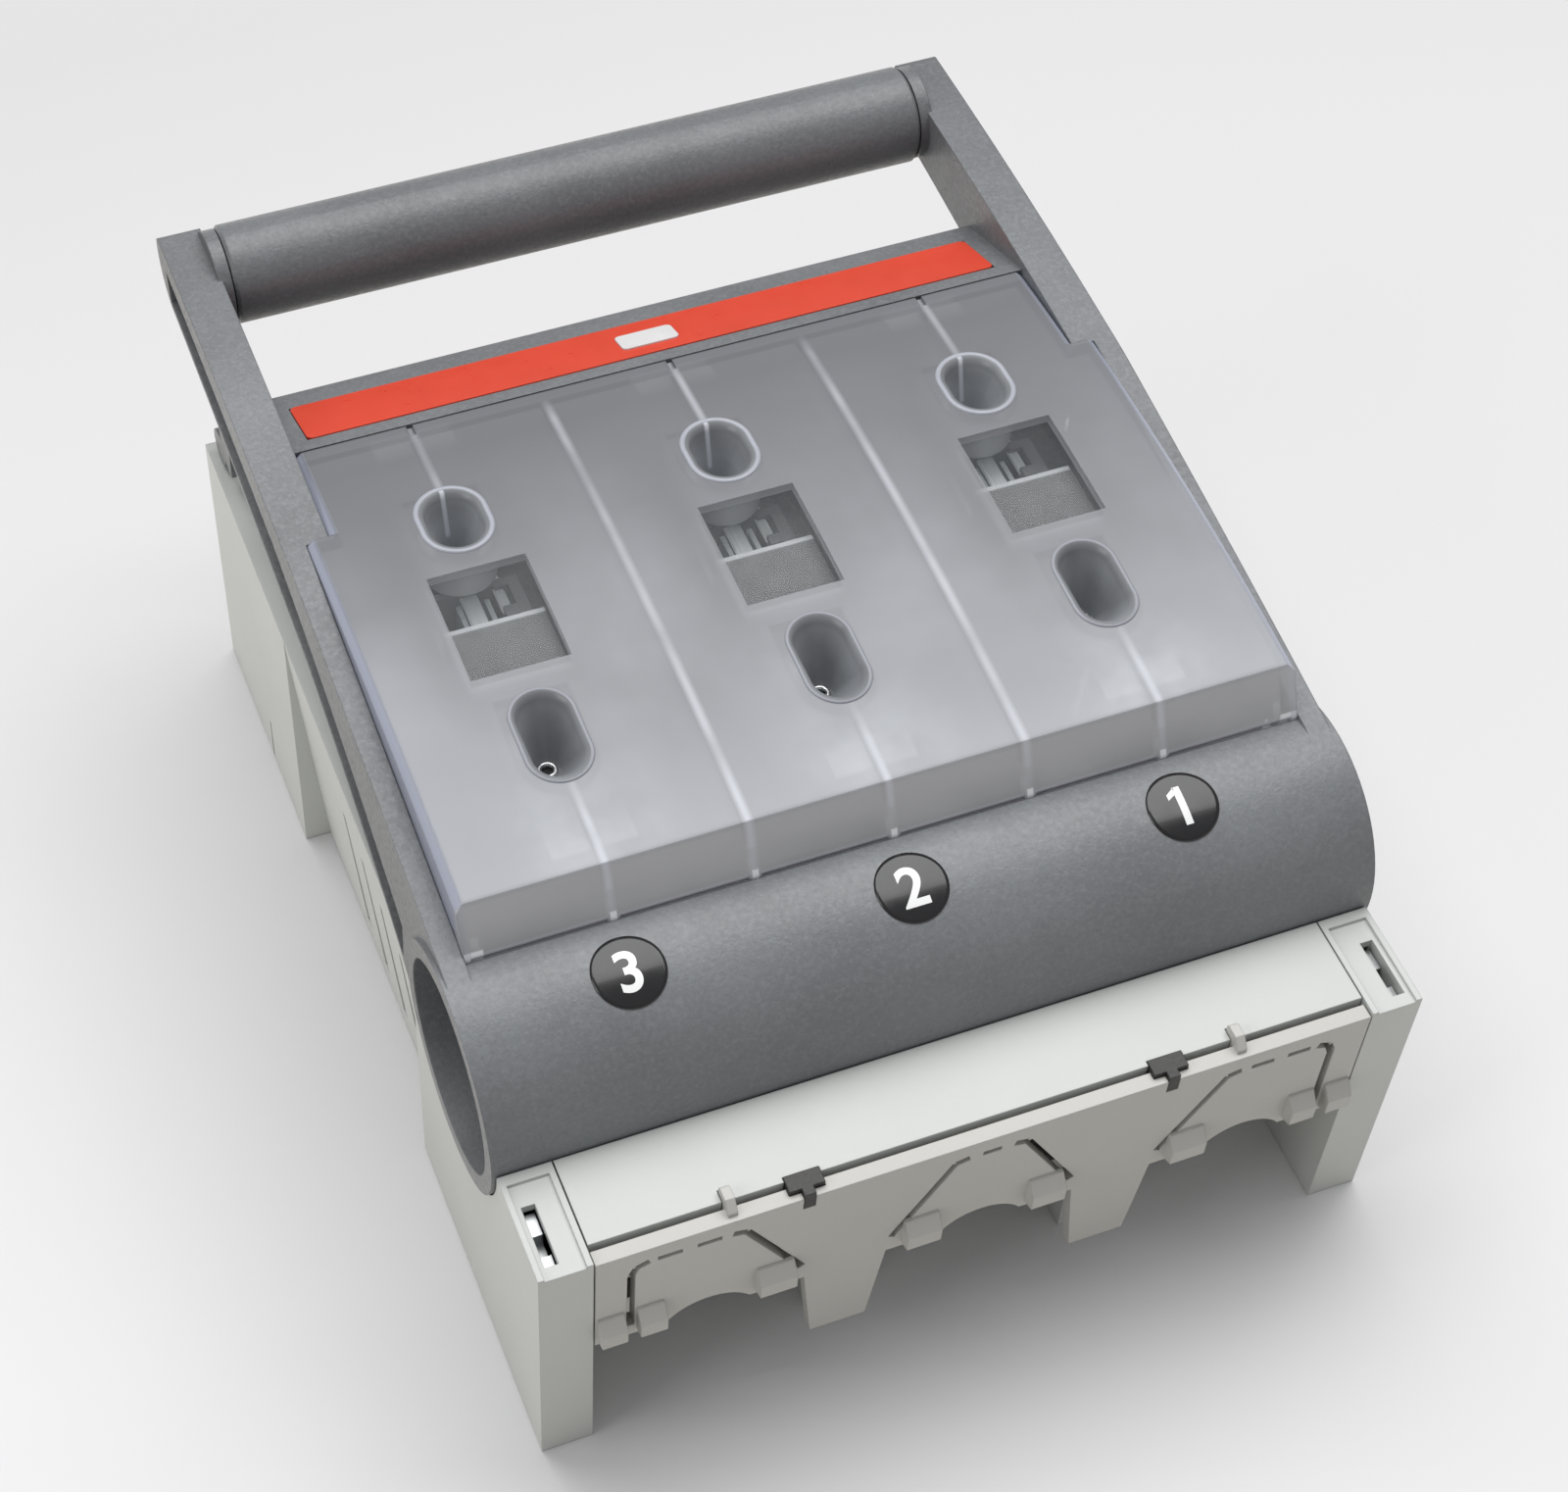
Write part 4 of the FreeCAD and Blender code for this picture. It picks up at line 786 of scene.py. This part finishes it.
def funnels():
    skin = funnel_plastic("funnel_skin")
    lip = satin("funnel_lip", lip_haze, 0.3, 0.0, 0.0)
    # near lips: a darker copy of the lip colour, painted shade
    near_lip_painted_shade = satin("near_lip_painted_shade", shade(lip_haze, 0.76), 0.4, 0.0, 0.0)
    steel = metal("probe_steel", steel_bright, 0.25, 2)
    # black disc in each bore: painted shade
    dark = satin("bore_shade", disc_black, 0.6, 0.0, 0.0)
    for number, x in enumerate(poles, 1):
        funnel_skin("near_funnel_" + str(number), x, near_funnel, near_flare, skin)
        funnel_skin("far_funnel_" + str(number), x, far_funnel, far_flare, skin)
        funnel_lip("near_lip_" + str(number), x, near_funnel, near_flare, near_bead, near_lip_painted_shade)
        funnel_lip("far_lip_" + str(number), x, far_funnel, far_flare, far_bead, lip)
        probe_end("probe_end_" + str(number), x, near_funnel[3], steel, dark)


def steel_plate(name, low, high, material):
    """Flat steel tag with softened edges."""
    work = bmesh.new()
    bmesh.ops.create_cube(work, size=1.0)
    for vertex in work.verts:
        for axis in range(3):
            vertex.co[axis] = low[axis] + (vertex.co[axis] + 0.5) * (high[axis] - low[axis])
    bmesh.ops.bevel(work, geom=list(work.edges), offset=0.25 * mm, segments=2, affect="EDGES")
    mesh = bpy.data.meshes.new(name)
    work.to_mesh(mesh)
    work.free()
    return new_piece(name, mesh, material, "lid")


def carrier_tags():
    """Bright tags of the grips, seen through the panes: near white, partly the steel's own pale tone and partly
    painted glint.
    """
    bright = metal("tag_painted_glint", pale_tag_and_painted_glint, 0.35, 1, share=0.10)
    for number, x in enumerate(poles, 1):
        for side, (low, high) in (("left_", left_tag), ("right_", right_tag)):
            steel_plate("carrier_tag_" + side + str(number), (x + low[0], low[1], tag_low_z),
                        (x + high[0], high[1], tag_high_z), bright)


# floor, light and camera

def stage():
    bpy.ops.mesh.primitive_plane_add(size=floor_size, location=(0, 0, cad_low.z - floor_drop))
    floor = bpy.context.object
    floor.name = "floor"
    maker = Maker("floor_paper")
    maker.rough(0.9)
    _, along_y, _ = maker.axes()
    cloud = maker.rise(maker.noise(floor_cloud, 2.0), 0.3, 0.7)
    paper = maker.mix(cloud, shade(floor_colour, 0.99), shade(floor_colour, 1.01))
    # painted shade: the paper darkens away from the camera
    paper = maker.mix(maker.rise(along_y, *floor_painted_shade_span), paper, shade(floor_colour, 0.78))
    seen = maker.node("ShaderNodeLightPath").outputs["Is Camera Ray"]
    maker.colour(maker.mix(seen, floor_bounce, paper))
    maker.shader.inputs["Specular IOR Level"].default_value = 0.1
    floor.data.materials.append(maker.material)


def area_light(name, place, target, size, power):
    lamp = bpy.data.lights.new(name, "AREA")
    lamp.shape = "RECTANGLE"
    lamp.size, lamp.size_y = size
    lamp.energy = power
    holder = bpy.data.objects.new(name, lamp)
    holder.location = place
    holder.rotation_euler = (Vector(target) - Vector(place)).to_track_quat("-Z", "Y").to_euler()
    bpy.context.scene.collection.objects.link(holder)


def lights():
    world = bpy.data.worlds.new("studio")
    world.use_nodes = True
    bpy.context.scene.world = world
    background = world.node_tree.nodes["Background"]
    background.inputs["Color"].default_value = sky_colour
    background.inputs["Strength"].default_value = sky_strength
    area_light("overhead", overhead_place, lit_point, overhead_size, overhead_power)
    area_light("left_fill", fill_place, lit_point, fill_size, fill_power)


def camera():
    heading = math.radians(camera_heading)
    dip = math.radians(camera_dip)
    ahead = Vector((math.sin(heading) * math.cos(dip), math.cos(heading) * math.cos(dip), -math.sin(dip)))
    level = ahead.cross(Vector((0, 0, 1))).normalized()
    above = level.cross(ahead)
    roll = math.radians(camera_roll)
    right = level * math.cos(roll) + above * math.sin(roll)
    up = right.cross(ahead)
    data = bpy.data.cameras.new("camera")
    data.sensor_width = sensor_width
    data.sensor_fit = "HORIZONTAL"
    data.lens = camera_lens
    data.shift_x, data.shift_y = camera_shift
    holder = bpy.data.objects.new("camera", data)
    turn = Matrix((right, up, -ahead)).transposed().to_4x4()
    holder.matrix_world = Matrix.Translation(camera_place) @ turn
    bpy.context.scene.collection.objects.link(holder)
    bpy.context.scene.camera = holder


dress_frame()
number_discs()
funnels()
carrier_tags()
stage()
lights()
camera()

scene = bpy.context.scene
scene.view_settings.view_transform = "Standard"
